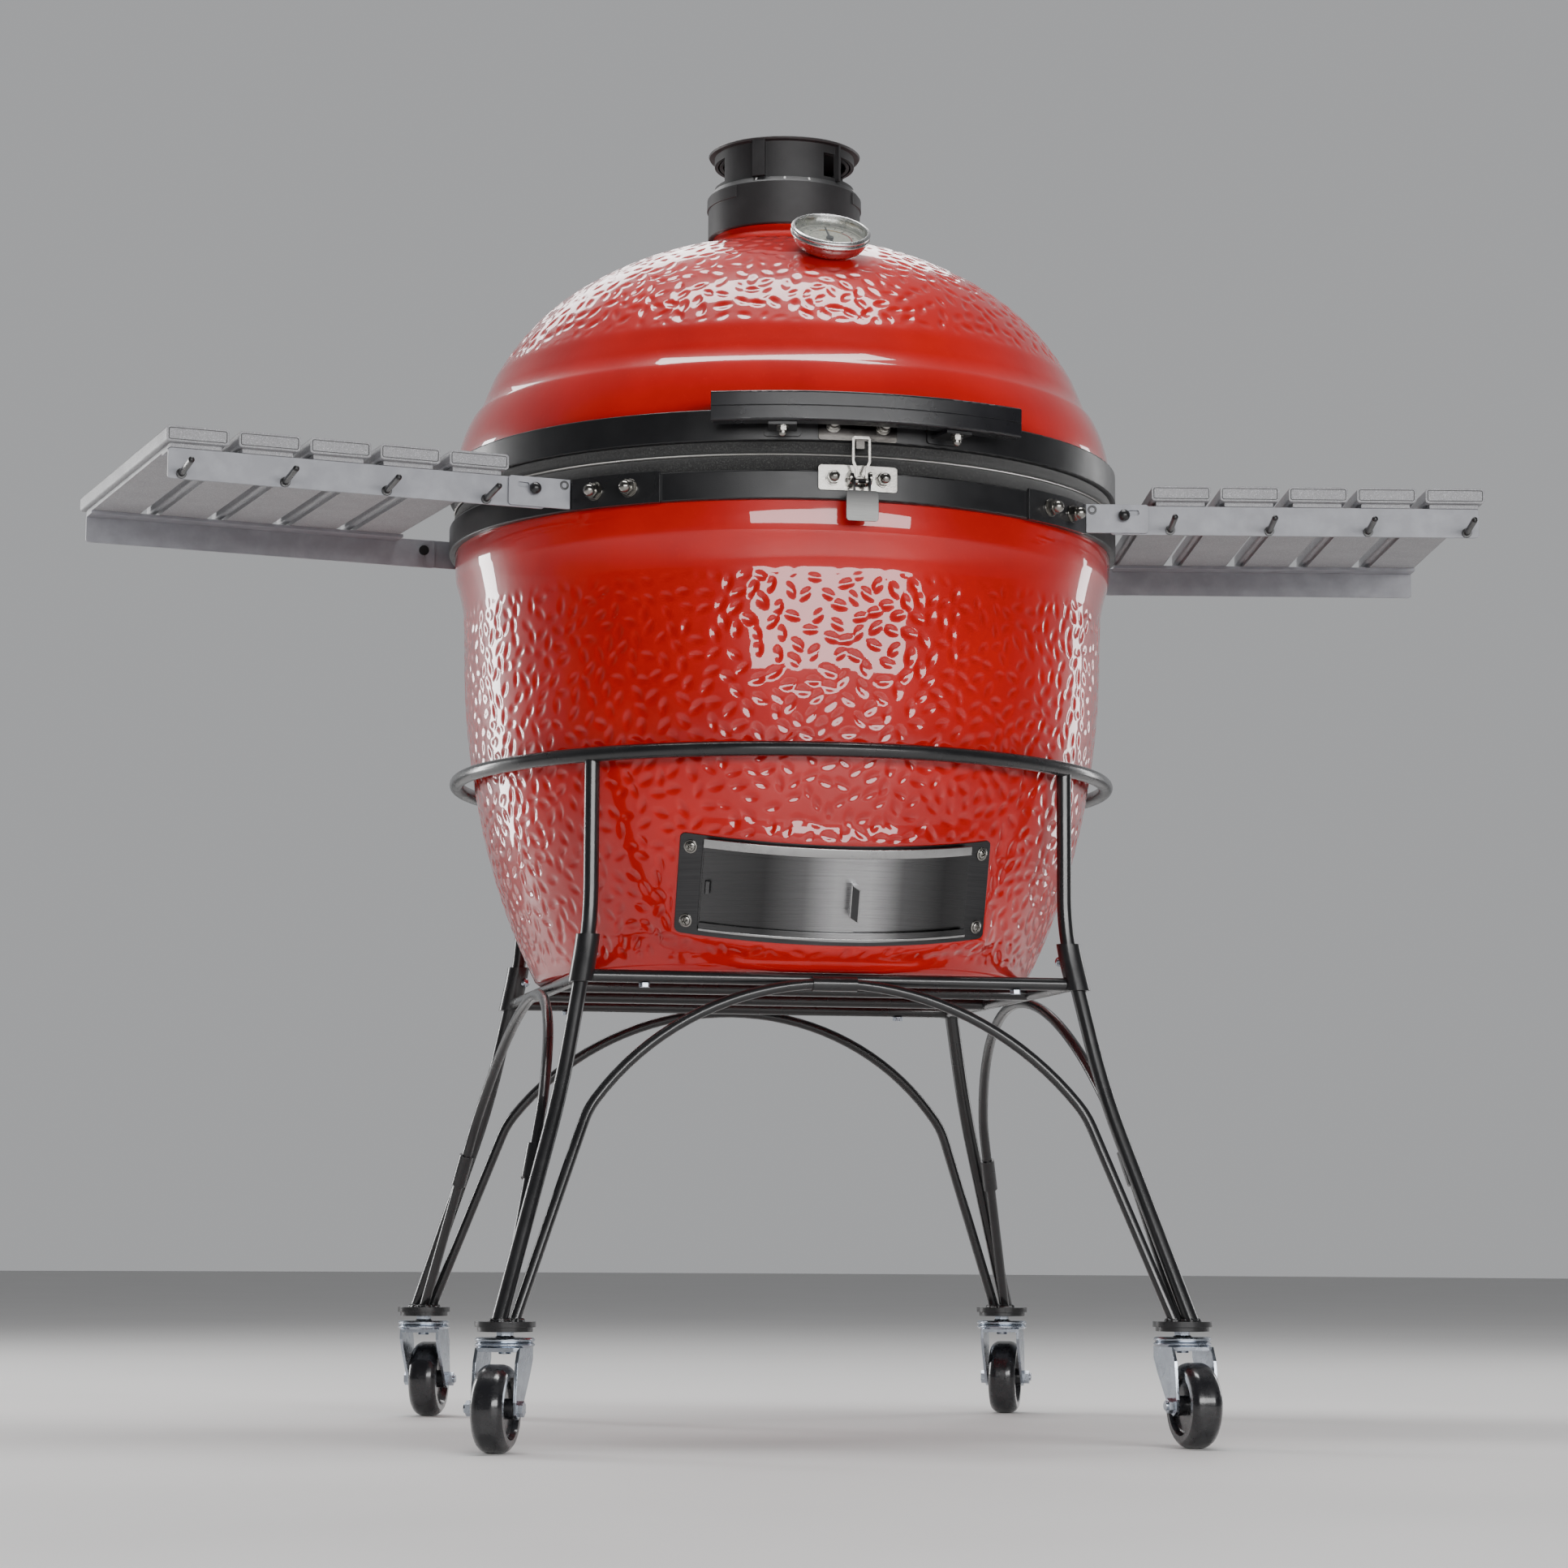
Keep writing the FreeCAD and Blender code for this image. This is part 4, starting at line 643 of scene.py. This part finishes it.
def build_bowl():
    low = profile((0.0015, 0.430), (0.232, 0.430), ((0.2398, 0.4324), (0.2435, 0.439)))
    side = profile((0.2435, 0.439), ((0.2815, 0.533), (0.3021, 0.6181)), ((0.3122, 0.690), (0.3154, 0.762)),
                   (0.3166, 0.796), count=80)
    rim = profile((0.3166, 0.796), ((0.3196, 0.812), (0.3242, 0.828)), ((0.3254, 0.837), (CERAMIC_R, 0.846)),
                  (CERAMIC_R, BOWL_RIM_Z - 0.003), (0.3238, BOWL_RIM_Z), (RIM_IN_R, BOWL_RIM_Z))
    inner = profile((RIM_IN_R, BOWL_RIM_Z), (0.290, 0.820), ((0.285, 0.690), (0.264, 0.560)),
                    ((0.246, 0.492), (0.220, 0.456)), (0.0015, 0.456))
    side = resample(side, GLAZE_STEP)
    parts = [resample(low, BOWL_INNER_STEP)[:-1], side,
             resample(rim, BOWL_RIM_STEP)[1:], resample(inner, BOWL_INNER_STEP)[1:]]
    outline = np.concatenate(parts)
    first = len(parts[0])
    last = first + len(side)
    for limit in MOUTH_Z:
        for start, stop in ((first, last), (last + len(parts[2]), len(outline))):
            nearest = start + int(np.argmin(np.abs(outline[start:stop, 1] - limit)))
            outline[nearest, 1] = limit
    points = grid_of(outline, GLAZE_COLUMNS)
    turn = np.linspace(0, 2 * math.pi, GLAZE_COLUMNS, endpoint=False)
    turn = np.where(turn > math.pi, turn - 2 * math.pi, turn)
    z = points[:, :, 2]
    door_rows = smooth_step(z, *DOOR_ROWS_Z[:2]) * (1 - smooth_step(z, *DOOR_ROWS_Z[2:]))
    door_columns = 1 - smooth_step(np.abs(turn), *DOOR_COLUMNS)
    share = door_rows * door_columns[None, :]
    radius = np.hypot(points[:, :, 0], points[:, :, 1])
    steady = COLUMN_R * np.sin(turn)[None, :]
    x = points[:, :, 0] * (1 - share) + np.clip(steady, -radius * 0.98, radius * 0.98) * share
    front = share > 0
    points[:, :, 1] = np.where(front, -np.sqrt(np.maximum(1e-9, radius ** 2 - x ** 2)), points[:, :, 1])
    points[:, :, 0] = np.where(front, x, points[:, :, 0])
    outer = np.zeros(len(outline))
    outer[first:last] = 1
    band = smooth_step(z, *BOWL_DIMPLES_Z[:2]) * (1 - smooth_step(z, *BOWL_DIMPLES_Z[2:])) * outer[:, None]
    swelled, seat = swell_to_seat(points)
    on_side = outer[:, None] * (np.abs(turn) < 1.2)[None, :]
    points = np.where(on_side[..., None] > 0, swelled, points)
    band *= 1 - smooth_step(seat * on_side, 0.9, 1.0)
    depth = dimples(points, band.max(axis=1) > DIMPLED_SHARE, BOWL_SEED) * band
    points = points - grid_normals(points) * (DIMPLE_DEPTH * depth)[..., None]
    column_x = np.abs(COLUMN_R * np.sin(turn))
    edge = int(np.argmin(np.abs(column_x[:GLAZE_COLUMNS // 4] - MOUTH_HALF_W)))
    half = GLAZE_COLUMNS // 2
    inside = np.abs(((np.arange(GLAZE_COLUMNS) + half) % GLAZE_COLUMNS) - half + 0.5) < edge
    between = (outline[:-1, 1] + outline[1:, 1]) / 2
    tall = (between > MOUTH_Z[0]) & (between < MOUTH_Z[1])
    keep = ~(tall[:, None] & inside[None, :])
    quads = ring_quads(len(outline), GLAZE_COLUMNS, False, keep)
    quads = np.concatenate([quads, tunnel_quads(tall, first, last, edge)])
    mesh = mesh_of("bowl_shell", points.reshape(-1, 3), quads)
    store_depth(mesh, depth)
    piece = finish_mesh("bowl_shell", mesh, "base", MATERIALS["red_glaze"], 50)
    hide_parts("bowl")


def tunnel_quads(tall, first, last, edge):
    """Walls of the draft mouth between the outer and the inner surface of the bowl."""
    rows = np.nonzero(tall)[0]
    outer = rows[rows < last]
    inner = rows[rows >= last]
    outer_rows = np.append(outer, outer[-1] + 1)
    inner_rows = np.append(inner, inner[-1] + 1)[::-1]
    columns = np.arange(-edge, edge + 1) % GLAZE_COLUMNS
    quads = []
    for a, b, flip in ((outer_rows[0], inner_rows[0], False), (outer_rows[-1], inner_rows[-1], True)):
        for c0, c1 in zip(columns[:-1], columns[1:]):
            quad = [a * GLAZE_COLUMNS + c0, a * GLAZE_COLUMNS + c1,
                    b * GLAZE_COLUMNS + c1, b * GLAZE_COLUMNS + c0]
            quads.append(quad[::-1] if flip else quad)
    for c, flip in ((columns[0], True), (columns[-1], False)):
        steps = len(outer_rows) - 1
        match = np.rint(np.linspace(0, len(inner_rows) - 1, steps + 1)).astype(int)
        for i in range(steps):
            quad = [outer_rows[i] * GLAZE_COLUMNS + c, outer_rows[i + 1] * GLAZE_COLUMNS + c,
                    inner_rows[match[i + 1]] * GLAZE_COLUMNS + c, inner_rows[match[i]] * GLAZE_COLUMNS + c]
            if len(set(quad)) == 4:
                quads.append(quad[::-1] if flip else quad)
    return np.array(quads)


# ---- seam between the lid and the base ----

CORD_R = 0.3262
CORD_Z = SEAM_Z - 0.0016
CORD_TURNS = 520
CORD_STRAND = 0.0007


def build_seam():
    upper = profile((0.300, 0.9092), (0.300, 0.9022), (0.302, 0.9002), (0.3215, 0.9002),
                    ((0.3264, 0.9040), (0.3266, 0.9104)), (0.318, 0.9104), count=10)
    lower = profile((0.300, 0.8852), (0.318, 0.8832), (0.3266, 0.8832), ((0.3270, 0.8925), (0.3225, 0.8998)),
                    (0.302, 0.8998), (0.300, 0.8978), count=10)
    piece = turned("gasket_upper", upper[::-1], "lid", MATERIALS["felt"], 360)
    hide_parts("upper_gasket")
    piece = turned("gasket_lower", lower, "base", MATERIALS["felt"], 360)
    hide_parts("lower_gasket")
    columns = CORD_TURNS * 9
    turn = np.linspace(0, 2 * math.pi, columns, endpoint=False)
    around = np.linspace(0, 2 * math.pi, 6, endpoint=False)[:, None]
    points, quads = [], []
    for strand in (0, math.pi):
        twist = CORD_TURNS * turn + strand
        r = CORD_R + CORD_STRAND * (0.85 * np.cos(twist) + np.cos(around))
        z = CORD_Z + CORD_STRAND * (0.85 * np.sin(twist) + np.sin(around))
        quads.append(ring_quads(6, columns, True) + len(points) * 6 * columns)
        points.append(np.stack([r * np.cos(turn), r * np.sin(turn), z], axis=2).reshape(-1, 3))
    mesh = mesh_of("seam_cord", np.concatenate(points), np.concatenate(quads))
    finish_mesh("seam_cord", mesh, "base", MATERIALS["cord_silver"], 60)


# ---- thermometer ----

GAUGE_PLACE = Matrix.Translation(GAUGE_AT) @ Matrix.Rotation(GAUGE_TILT, 4, "X")
DIAL_Z = 0.0131
DIAL_FROM = math.radians(-32.0)   # lowest mark, clockwise to the highest
DIAL_SWEEP = math.radians(244.0)
DIAL_MARKS = 60
MARK_THICK = 0.00012
RING_OUTER = (0.0307, 0.0311)
RING_INNER = (0.0200, 0.0203)
ZONE_R = (0.0208, 0.0219)


def sector(r0, r1, a0, a1, z0, z1, count=2):
    """Rings of a slab of a disc between two radii and two angles."""
    rings = []
    for i in range(count + 1):
        t = a0 + (a1 - a0) * i / count
        corners = ((r0, z0), (r1, z0), (r1, z1), (r0, z1))
        rings.append([(r * math.cos(t), r * math.sin(t), z) for r, z in corners])
    return rings


def build_gauge():
    cup = profile((0.0001, -0.0005), (0.0119, -0.0005), (0.0119, 0.0028), (0.0224, 0.0030),
                  ((0.0311, 0.0068), (0.0353, 0.0134)), (0.0359, 0.0158),
                  ((0.0370, 0.0162), (0.0376, 0.0170)), ((0.0384, 0.0186), (0.0375, 0.0202)),
                  (0.0371, 0.0206), ((0.0383, 0.0226), (0.0366, 0.0249)),
                  ((0.0354, 0.0252), (0.0346, 0.0243)), (0.0344, 0.0215), (0.0343, 0.0126), count=10)
    piece = turned("gauge_cup", cup, "lid", MATERIALS["polished"], 128, GAUGE_PLACE,
                   closed=False)
    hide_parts("gauge_case")
    face = profile((0.0001, 0.0124), (0.0342, 0.0124), (0.0342, DIAL_Z), (0.0001, DIAL_Z))
    piece = turned("gauge_face", face, "lid", MATERIALS["dial"], 96, GAUGE_PLACE, closed=False)
    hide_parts("gauge_dial")
    top = DIAL_Z + MARK_THICK
    marks_and_glints = Shape()
    marks_and_glints.loft(sector(*RING_OUTER, 0, 2 * math.pi, DIAL_Z, top, 96)[:-1], closed=True)
    marks_and_glints.loft(sector(*RING_INNER, 0, 2 * math.pi, DIAL_Z, top, 72)[:-1], closed=True)
    for i in range(DIAL_MARKS + 1):
        t = math.pi - DIAL_FROM - DIAL_SWEEP * i / DIAL_MARKS
        long = i % 5 == 0
        half = 0.011 if long else 0.006
        marks_and_glints.loft(sector(0.0256 if long else 0.0278, 0.0300, t - half, t + half, DIAL_Z, top, 1))
        if i % 10 == 0:
            marks_and_glints.loft(sector(0.0226, 0.0243, t - 0.05, t + 0.05, DIAL_Z, top, 2))
    marks_and_glints.piece("gauge_marks", "lid", "needle_black", GAUGE_PLACE)
    warm = Shape()
    start = math.pi - DIAL_FROM
    warm.loft(sector(*ZONE_R, start - 0.42 * DIAL_SWEEP, start - 0.66 * DIAL_SWEEP, DIAL_Z, top, 24))
    hot = Shape()
    hot.loft(sector(*ZONE_R, start - 0.68 * DIAL_SWEEP, start - DIAL_SWEEP, DIAL_Z, top, 24))
    warm.piece("gauge_warm_zone", "lid", "dial", GAUGE_PLACE).data.materials[0] = MATERIALS["zone_amber"]
    hot.piece("gauge_hot_zone", "lid", "dial", GAUGE_PLACE).data.materials[0] = MATERIALS["zone_red"]


# ---- painted highlights on the vent, welds, screws, slat caps, rivets with painted shade, rails and tab ----

BEVEL_FOOT = (0.0767, 1.2275)
BEVEL_TOP = (0.0727, 1.2330)
# White patches on the collar's bevel, painted highlights of its raised lugs: their angles round the vent, in
# degrees
VENT_GLINTS = (-34.0, -11.5, 7.5, 58.0)
GLINT_HALF_W = 0.0010
GLINT_ALONG = (0.40, 0.88)
GLINT_SUNK = -0.0005
GLINT_PROUD = 0.0002


def on_bevel(share, off):
    """Radius and height of a point on the bevel of the vent's collar, set off from its surface."""
    run = Vector(BEVEL_TOP) - Vector(BEVEL_FOOT)
    out = Vector((run.y, -run.x)).normalized()
    return Vector(BEVEL_FOOT) + run * share + out * off


def build_vent_glints():
    """Small white patches on the bevelled edge of the vent's collar: painted highlights where its raised
    lugs catch the light.
    """
    section = [on_bevel(share, off) for share, off in
               ((GLINT_ALONG[0], GLINT_SUNK), (GLINT_ALONG[0], GLINT_PROUD),
                (GLINT_ALONG[1], GLINT_PROUD), (GLINT_ALONG[1], GLINT_SUNK))]
    marks_and_glints = Shape()
    for degrees in VENT_GLINTS:
        rings = []
        for step in (-1, 1):
            t = math.radians(degrees - 90) + step * GLINT_HALF_W / BEVEL_FOOT[0]
            rings.append([(r * math.cos(t), r * math.sin(t), z) for r, z in section])
        marks_and_glints.loft(rings)
    marks_and_glints.piece("vent_glints", "lid", "dial").data.materials[0] = MATERIALS["glint_white"]


PLATE_TOP_Z = 0.113
LEG_FOOT = 0.3166
ARCH_FEET = (0.3018, 0.3113)
LEG_WELD_R = 0.0078
ARCH_WELD_R = 0.0058
WELD_FAT = 0.0021
WELD_LIFT = 0.0004
WELD_LUMPS = ((5, 0.22), (9, 0.16), (14, 0.1))   # waves round the ring and their share of the bead


def bead(shape, x, y, radius, size, seed):
    """Lumpy ring of weld metal at the foot of a tube."""
    draw = np.random.default_rng(seed)
    phase = draw.uniform(0, 2 * math.pi, 3)
    rings = []
    for i in range(40):
        t = 2 * math.pi * i / 40
        swell = 1
        for (waves, share), start in zip(WELD_LUMPS, phase):
            swell += share * math.sin(waves * t + start)
        fat = size * swell
        ring = []
        for a in np.linspace(0, 2 * math.pi, 9)[:-1]:
            r = radius + fat * math.cos(a)
            z = PLATE_TOP_Z + WELD_LIFT + fat * math.sin(a)
            ring.append((r * math.cos(t) + x, r * math.sin(t) + y, z))
        rings.append(ring)
    shape.loft(rings, closed=True)


def build_welds():
    welds = Shape()
    seed = 0
    for sx in (-1, 1):
        for sy in (-1, 1):
            for x, y, radius in ((LEG_FOOT, LEG_FOOT, LEG_WELD_R), (*ARCH_FEET, ARCH_WELD_R),
                                 (*ARCH_FEET[::-1], ARCH_WELD_R)):
                seed += 1
                bead(welds, sx * x, sy * y, radius, WELD_FAT, seed)
    welds.piece("foot_welds", "base", "cart_black", smooth_angle=60)


DOOR_AXIS = (0, DOOR_Y + DOOR_R * math.cos(DOOR_TILT), DOOR_MID_Z + DOOR_R * math.sin(DOOR_TILT))
DOOR_PLACE = Matrix.Translation(DOOR_AXIS) @ Matrix.Rotation(DOOR_TILT, 4, "X")
SCREW_AT = (0.138, 0.035)
SCREW_R = 0.0050
SCREW_HIGH = 0.0026
SCREW_SIDES = 72
SCREW_RINGS = 25
SLOT_HALF_W = 0.00075
SLOT_REACH = 0.0031
SLOT_DEEP = 0.0017
WASHER = ((0.0062, 0), (0.0064, 0.0002), (0.0064, 0.0007), (0.0061, 0.0009), (0.0048, 0.0009))


def circle_at(radius, z):
    turn = np.linspace(0, 2 * math.pi, SCREW_SIDES + 1)[:-1]
    return [(radius * math.cos(a), radius * math.sin(a), z) for a in turn]


def screw_surface(radius, t):
    """Point on a pan head with a cross recess, at a radius and an angle."""
    u, v = abs(radius * math.cos(t)), abs(radius * math.sin(t))
    share = radius / SCREW_R
    dome = 0.0008 + SCREW_HIGH * (1 - share ** 3) * 0.55 + 0.0011 * min(1, (1 - share) * 12)
    across = min(max(0, 1 - min(u, v) / SLOT_HALF_W), 1)
    along = min(max(0, (SLOT_REACH - max(u, v)) / 0.0006), 1)
    return radius * math.cos(t), radius * math.sin(t), dome - SLOT_DEEP * min(1, 1.6 * (across * along))


def build_draft_screws():
    """Four cross-recessed pan heads on washers at the corners of the draft frame."""
    for i, (sx, sz) in enumerate(((-1, -1), (-1, 1), (1, -1), (1, 1))):
        x = sx * SCREW_AT[0]
        y = -math.sqrt(DOOR_R ** 2 - x * x)
        out = Vector((x, y, 0)).normalized()
        aim = out.to_track_quat("Z", "Y").to_matrix().to_4x4()
        spin = Matrix.Rotation(0.4 + 0.5 * i, 4, "Z")
        place = DOOR_PLACE @ Matrix.Translation(Vector((x, y, sz * SCREW_AT[1]))) @ aim @ spin
        rings = [circle_at(SCREW_R, 0)]
        for ring in range(SCREW_RINGS):
            r = SCREW_R * (1 - ring / SCREW_RINGS)
            rings.append([screw_surface(r, 2 * math.pi * k / SCREW_SIDES) for k in range(SCREW_SIDES)])
        head = Shape()
        head.loft(rings)
        head.loft([circle_at(r, z) for r, z in WASHER])
        piece = head.piece("draft_screw_%d" % i, "base", "door_steel", place)
        piece.data.materials[0] = MATERIALS["nickel"]
        if i == 0:
            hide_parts("draft_screws")


SHELF_SWEEP = math.radians(10.6)
SLAT_PITCH = 0.0657
SLAT_W = 0.0568
SLAT_Z = (0.8876, 0.9020)
SLAT_END = 0.1813
SLATS = 5
ARM_END = 0.664
SLAT_END_OVER = 0.004
LAST_SLAT = ARM_END + SLAT_END_OVER - SLAT_W / 2
CAP_INSET = 0.0042
CAP_LIFT = 0.00005


def build_slat_caps():
    """Thin dark line round each end cap of the shelf boards."""
    for side, sign in (("left", -1), ("right", 1)):
        lines = Shape()
        middle_z = (SLAT_Z[0] + SLAT_Z[1]) / 2
        for i in range(SLATS):
            x = LAST_SLAT - SLAT_PITCH * i
            for end in (-1, 1):
                path = [(x + u, end * (SLAT_END + CAP_LIFT), middle_z + v)
                        for u, v in rounded(SLAT_W - CAP_INSET, SLAT_Z[1] - SLAT_Z[0] - CAP_INSET, 0.0016)]
                section = rounded(0.0005, 0.0007, 0.0001, 1)
                lines.loft(swept(path, section, (0, 1, 0), closed=True), closed=True)
        place = Matrix.Rotation(-SHELF_SWEEP, 4, "Z")
        if sign < 0:
            place = Matrix.Scale(-1, 4, (1, 0, 0)) @ place
        lines.piece("slat_caps_" + side, "shelf_" + side, "peg_black", place)


PLATE_FACE = 0.1750      # outer face of a shelf hinge plate, in the frame of its shelf
RIVET_AT = (0.2920, 0.8790)
RIVET_R = 0.0034


def build_plate_rivets():
    """Rolled edge of the rivet on the outer face of each shelf hinge plate, drawn black as painted shade
    round the rivet's recess.
    """
    rivets = Shape()
    for mirror in (-1, 1):
        place = Matrix.Scale(mirror, 4, (1, 0, 0)) @ Matrix.Rotation(-SHELF_SWEEP, 4, "Z")
        for end in (-1, 1):
            path = []
            for i in range(32):
                t = 2 * math.pi * i / 32
                x = RIVET_AT[0] + RIVET_R * math.cos(t)
                z = RIVET_AT[1] + RIVET_R * math.sin(t)
                path.append(place @ Vector((x, end * PLATE_FACE, z)))
            across = place.to_3x3() @ Vector((0, 1, 0))
            section = rounded(0.0014, 0.0020, 0.0004, 2)
            rivets.loft(swept(path, section, across, closed=True), closed=True)
    rivets.piece("hinge_plate_rivet_shade", "base", "peg_black")


RAIL_R = DOOR_R + 0.0064
RAIL_X = (-0.128, 0.124)


def build_draft_rails():
    """Bright folded lips of the ash drawer's front: a broad one on top, a fine one below."""
    for name, z, height, thick in (("upper", 0.0412, 0.0088, 0.0016), ("lower", -0.0400, 0.0026, 0.0012)):
        rail = Shape()
        start, end = (math.asin(x / RAIL_R) for x in RAIL_X)
        path = []
        for i in range(49):
            t = start + (end - start) * i / 48
            path.append((RAIL_R * math.sin(t), -RAIL_R * math.cos(t), z))
        rail.loft(swept(path, rounded(height, thick, thick * 0.48, 5), (0, 0, 1)))
        piece = rail.piece("draft_rail_" + name, "ash_drawer", "door_steel", DOOR_PLACE)
        piece.data.materials[0] = MATERIALS["rail_steel"]


TAB_X = (0.0050, 0.0128)
TAB_Z = (-0.0165, 0.0135)
TAB_SHEAR = 0.0046
DRAWER_GAP = 0.0004      # between the draft frame and the drawer front
DRAWER_THICK = 0.0014
RUN_GAP = 0.0003         # between the drawer front and the damper that slides on it
TAB_REACH = 0.0120       # the tab's front, measured from the damper's inner face
TAB_FRONT = -(DOOR_R + DRAWER_GAP + DRAWER_THICK + RUN_GAP + TAB_REACH)


def build_draft_tab():
    """Slanted finger tab of the damper: a bright rim round a dark face."""
    def corner(x, z, slip):
        return Vector((x, TAB_FRONT, z - slip))
    corners = [corner(TAB_X[0], TAB_Z[0], 0), corner(TAB_X[1], TAB_Z[0], TAB_SHEAR),
               corner(TAB_X[1], TAB_Z[1], TAB_SHEAR), corner(TAB_X[0], TAB_Z[1], 0)]
    rim = Shape()
    rim.loft(swept(corners, rounded(0.0011, 0.0013, 0.0003, 2), (0, 1, 0), closed=True), closed=True)
    piece = rim.piece("draft_tab_rim", "draft_door", "door_steel", DOOR_PLACE)
    piece.data.materials[0] = MATERIALS["rail_steel"]
    face = Shape()
    face.loft([[c + Vector((0, y, 0)) for c in corners] for y in (0.0005, 0.0001, -0.0002)])
    face.piece("draft_tab_face", "draft_door", "peg_black", DOOR_PLACE)


# ---- carried-over CAD nodes ----

# The latch lever and striker are nickel. The striker is drawn in a darker copy of it as painted shade; the
# lever's steel carries painted shade and a painted highlight.
OTHER_LOOK = {"latch_lever": "tab_steel", "latch_striker": "shaded_nickel"}


def paint_nodes():
    slots = {entry["node"]: entry["material_slot"] for entry in frame["record"]["subparts"]}
    for node, piece in frame["nodes"].items():
        for holder in piece.material_slots:
            holder.material = MATERIALS[OTHER_LOOK.get(node, slots[node])]


# ---- stage ----

CAMERA_AT = Vector((-0.7620, -3.6047, 0.1918))
CAMERA_HEADING = math.radians(-11.98)
CAMERA_PITCH = math.radians(6.84)
CAMERA_ROLL = math.radians(0.29)
CAMERA_LENS = 85.81


def build_camera():
    data = bpy.data.cameras.new("camera")
    data.lens = CAMERA_LENS
    data.sensor_width = 36.0
    data.clip_end = 60.0
    camera = bpy.data.objects.new("camera", data)
    bpy.context.scene.collection.objects.link(camera)
    aim = Matrix.Rotation(CAMERA_HEADING, 4, "Z") @ Matrix.Rotation(math.pi / 2 + CAMERA_PITCH, 4, "X")
    camera.matrix_world = Matrix.Translation(CAMERA_AT) @ aim @ Matrix.Rotation(CAMERA_ROLL, 4, "Z")
    bpy.context.scene.camera = camera


def soft_box(name, place, target, width, height, power):
    data = bpy.data.lights.new(name, "AREA")
    data.shape = "RECTANGLE"
    data.size = width
    data.size_y = height
    data.energy = power
    light = bpy.data.objects.new(name, data)
    bpy.context.scene.collection.objects.link(light)
    light.location = place
    light.rotation_euler = (Vector(target) - Vector(place)).to_track_quat("-Z", "Y").to_euler()


def build_stage():
    floor_mesh = bpy.data.meshes.new("floor")
    build = bmesh.new()
    bmesh.ops.create_circle(build, cap_ends=True, segments=96, radius=14.0)
    build.to_mesh(floor_mesh)
    build.free()
    material, tree, bsdf = shader("floor", (0.78, 0.77, 0.76), roughness=0.55)
    tree.links.new(remap(tree, noise(tree, 3.0, 4.0), 0.3, 0.7, 0.5, 0.62), bsdf.inputs["Roughness"])
    floor_mesh.materials.append(material)
    floor = bpy.data.objects.new("floor", floor_mesh)
    bpy.context.scene.collection.objects.link(floor)
    world = bpy.data.worlds.new("studio")
    world.use_nodes = True
    tree = world.node_tree
    direction = add(tree, "ShaderNodeTexCoord")
    axes = add(tree, "ShaderNodeSeparateXYZ")
    tree.links.new(direction.outputs["Generated"], axes.inputs["Vector"])
    glow = remap(tree, axes.outputs["Y"], -0.3, 0.7, 0.10, 0.50)
    tree.nodes["Background"].inputs["Color"].default_value = (0.80, 0.81, 0.83, 1)
    tree.links.new(glow, tree.nodes["Background"].inputs["Strength"])
    bpy.context.scene.world = world
    centre = (0, 0, 0.75)
    soft_box("overhead_front", (-0.1, -0.2, 3.2), centre, 2.0, 0.6, 60)
    soft_box("overhead_rear", (0.0, 2.0, 2.7), centre, 2.2, 0.8, 30)
    soft_box("front_wide", (0.3, -4.2, 1.15), centre, 4.2, 0.9, 150)
    soft_box("left_strip", (-2.3, 2.1, 1.0), centre, 0.5, 1.6, 45)
    soft_box("right_strip", (2.6, 1.2, 1.0), centre, 0.4, 1.4, 14)


paint_nodes()
build_dome()
build_bowl()
build_seam()
build_gauge()
build_vent_glints()
build_welds()
build_draft_screws()
build_slat_caps()
build_plate_rivets()
build_draft_rails()
build_draft_tab()
build_camera()
build_stage()
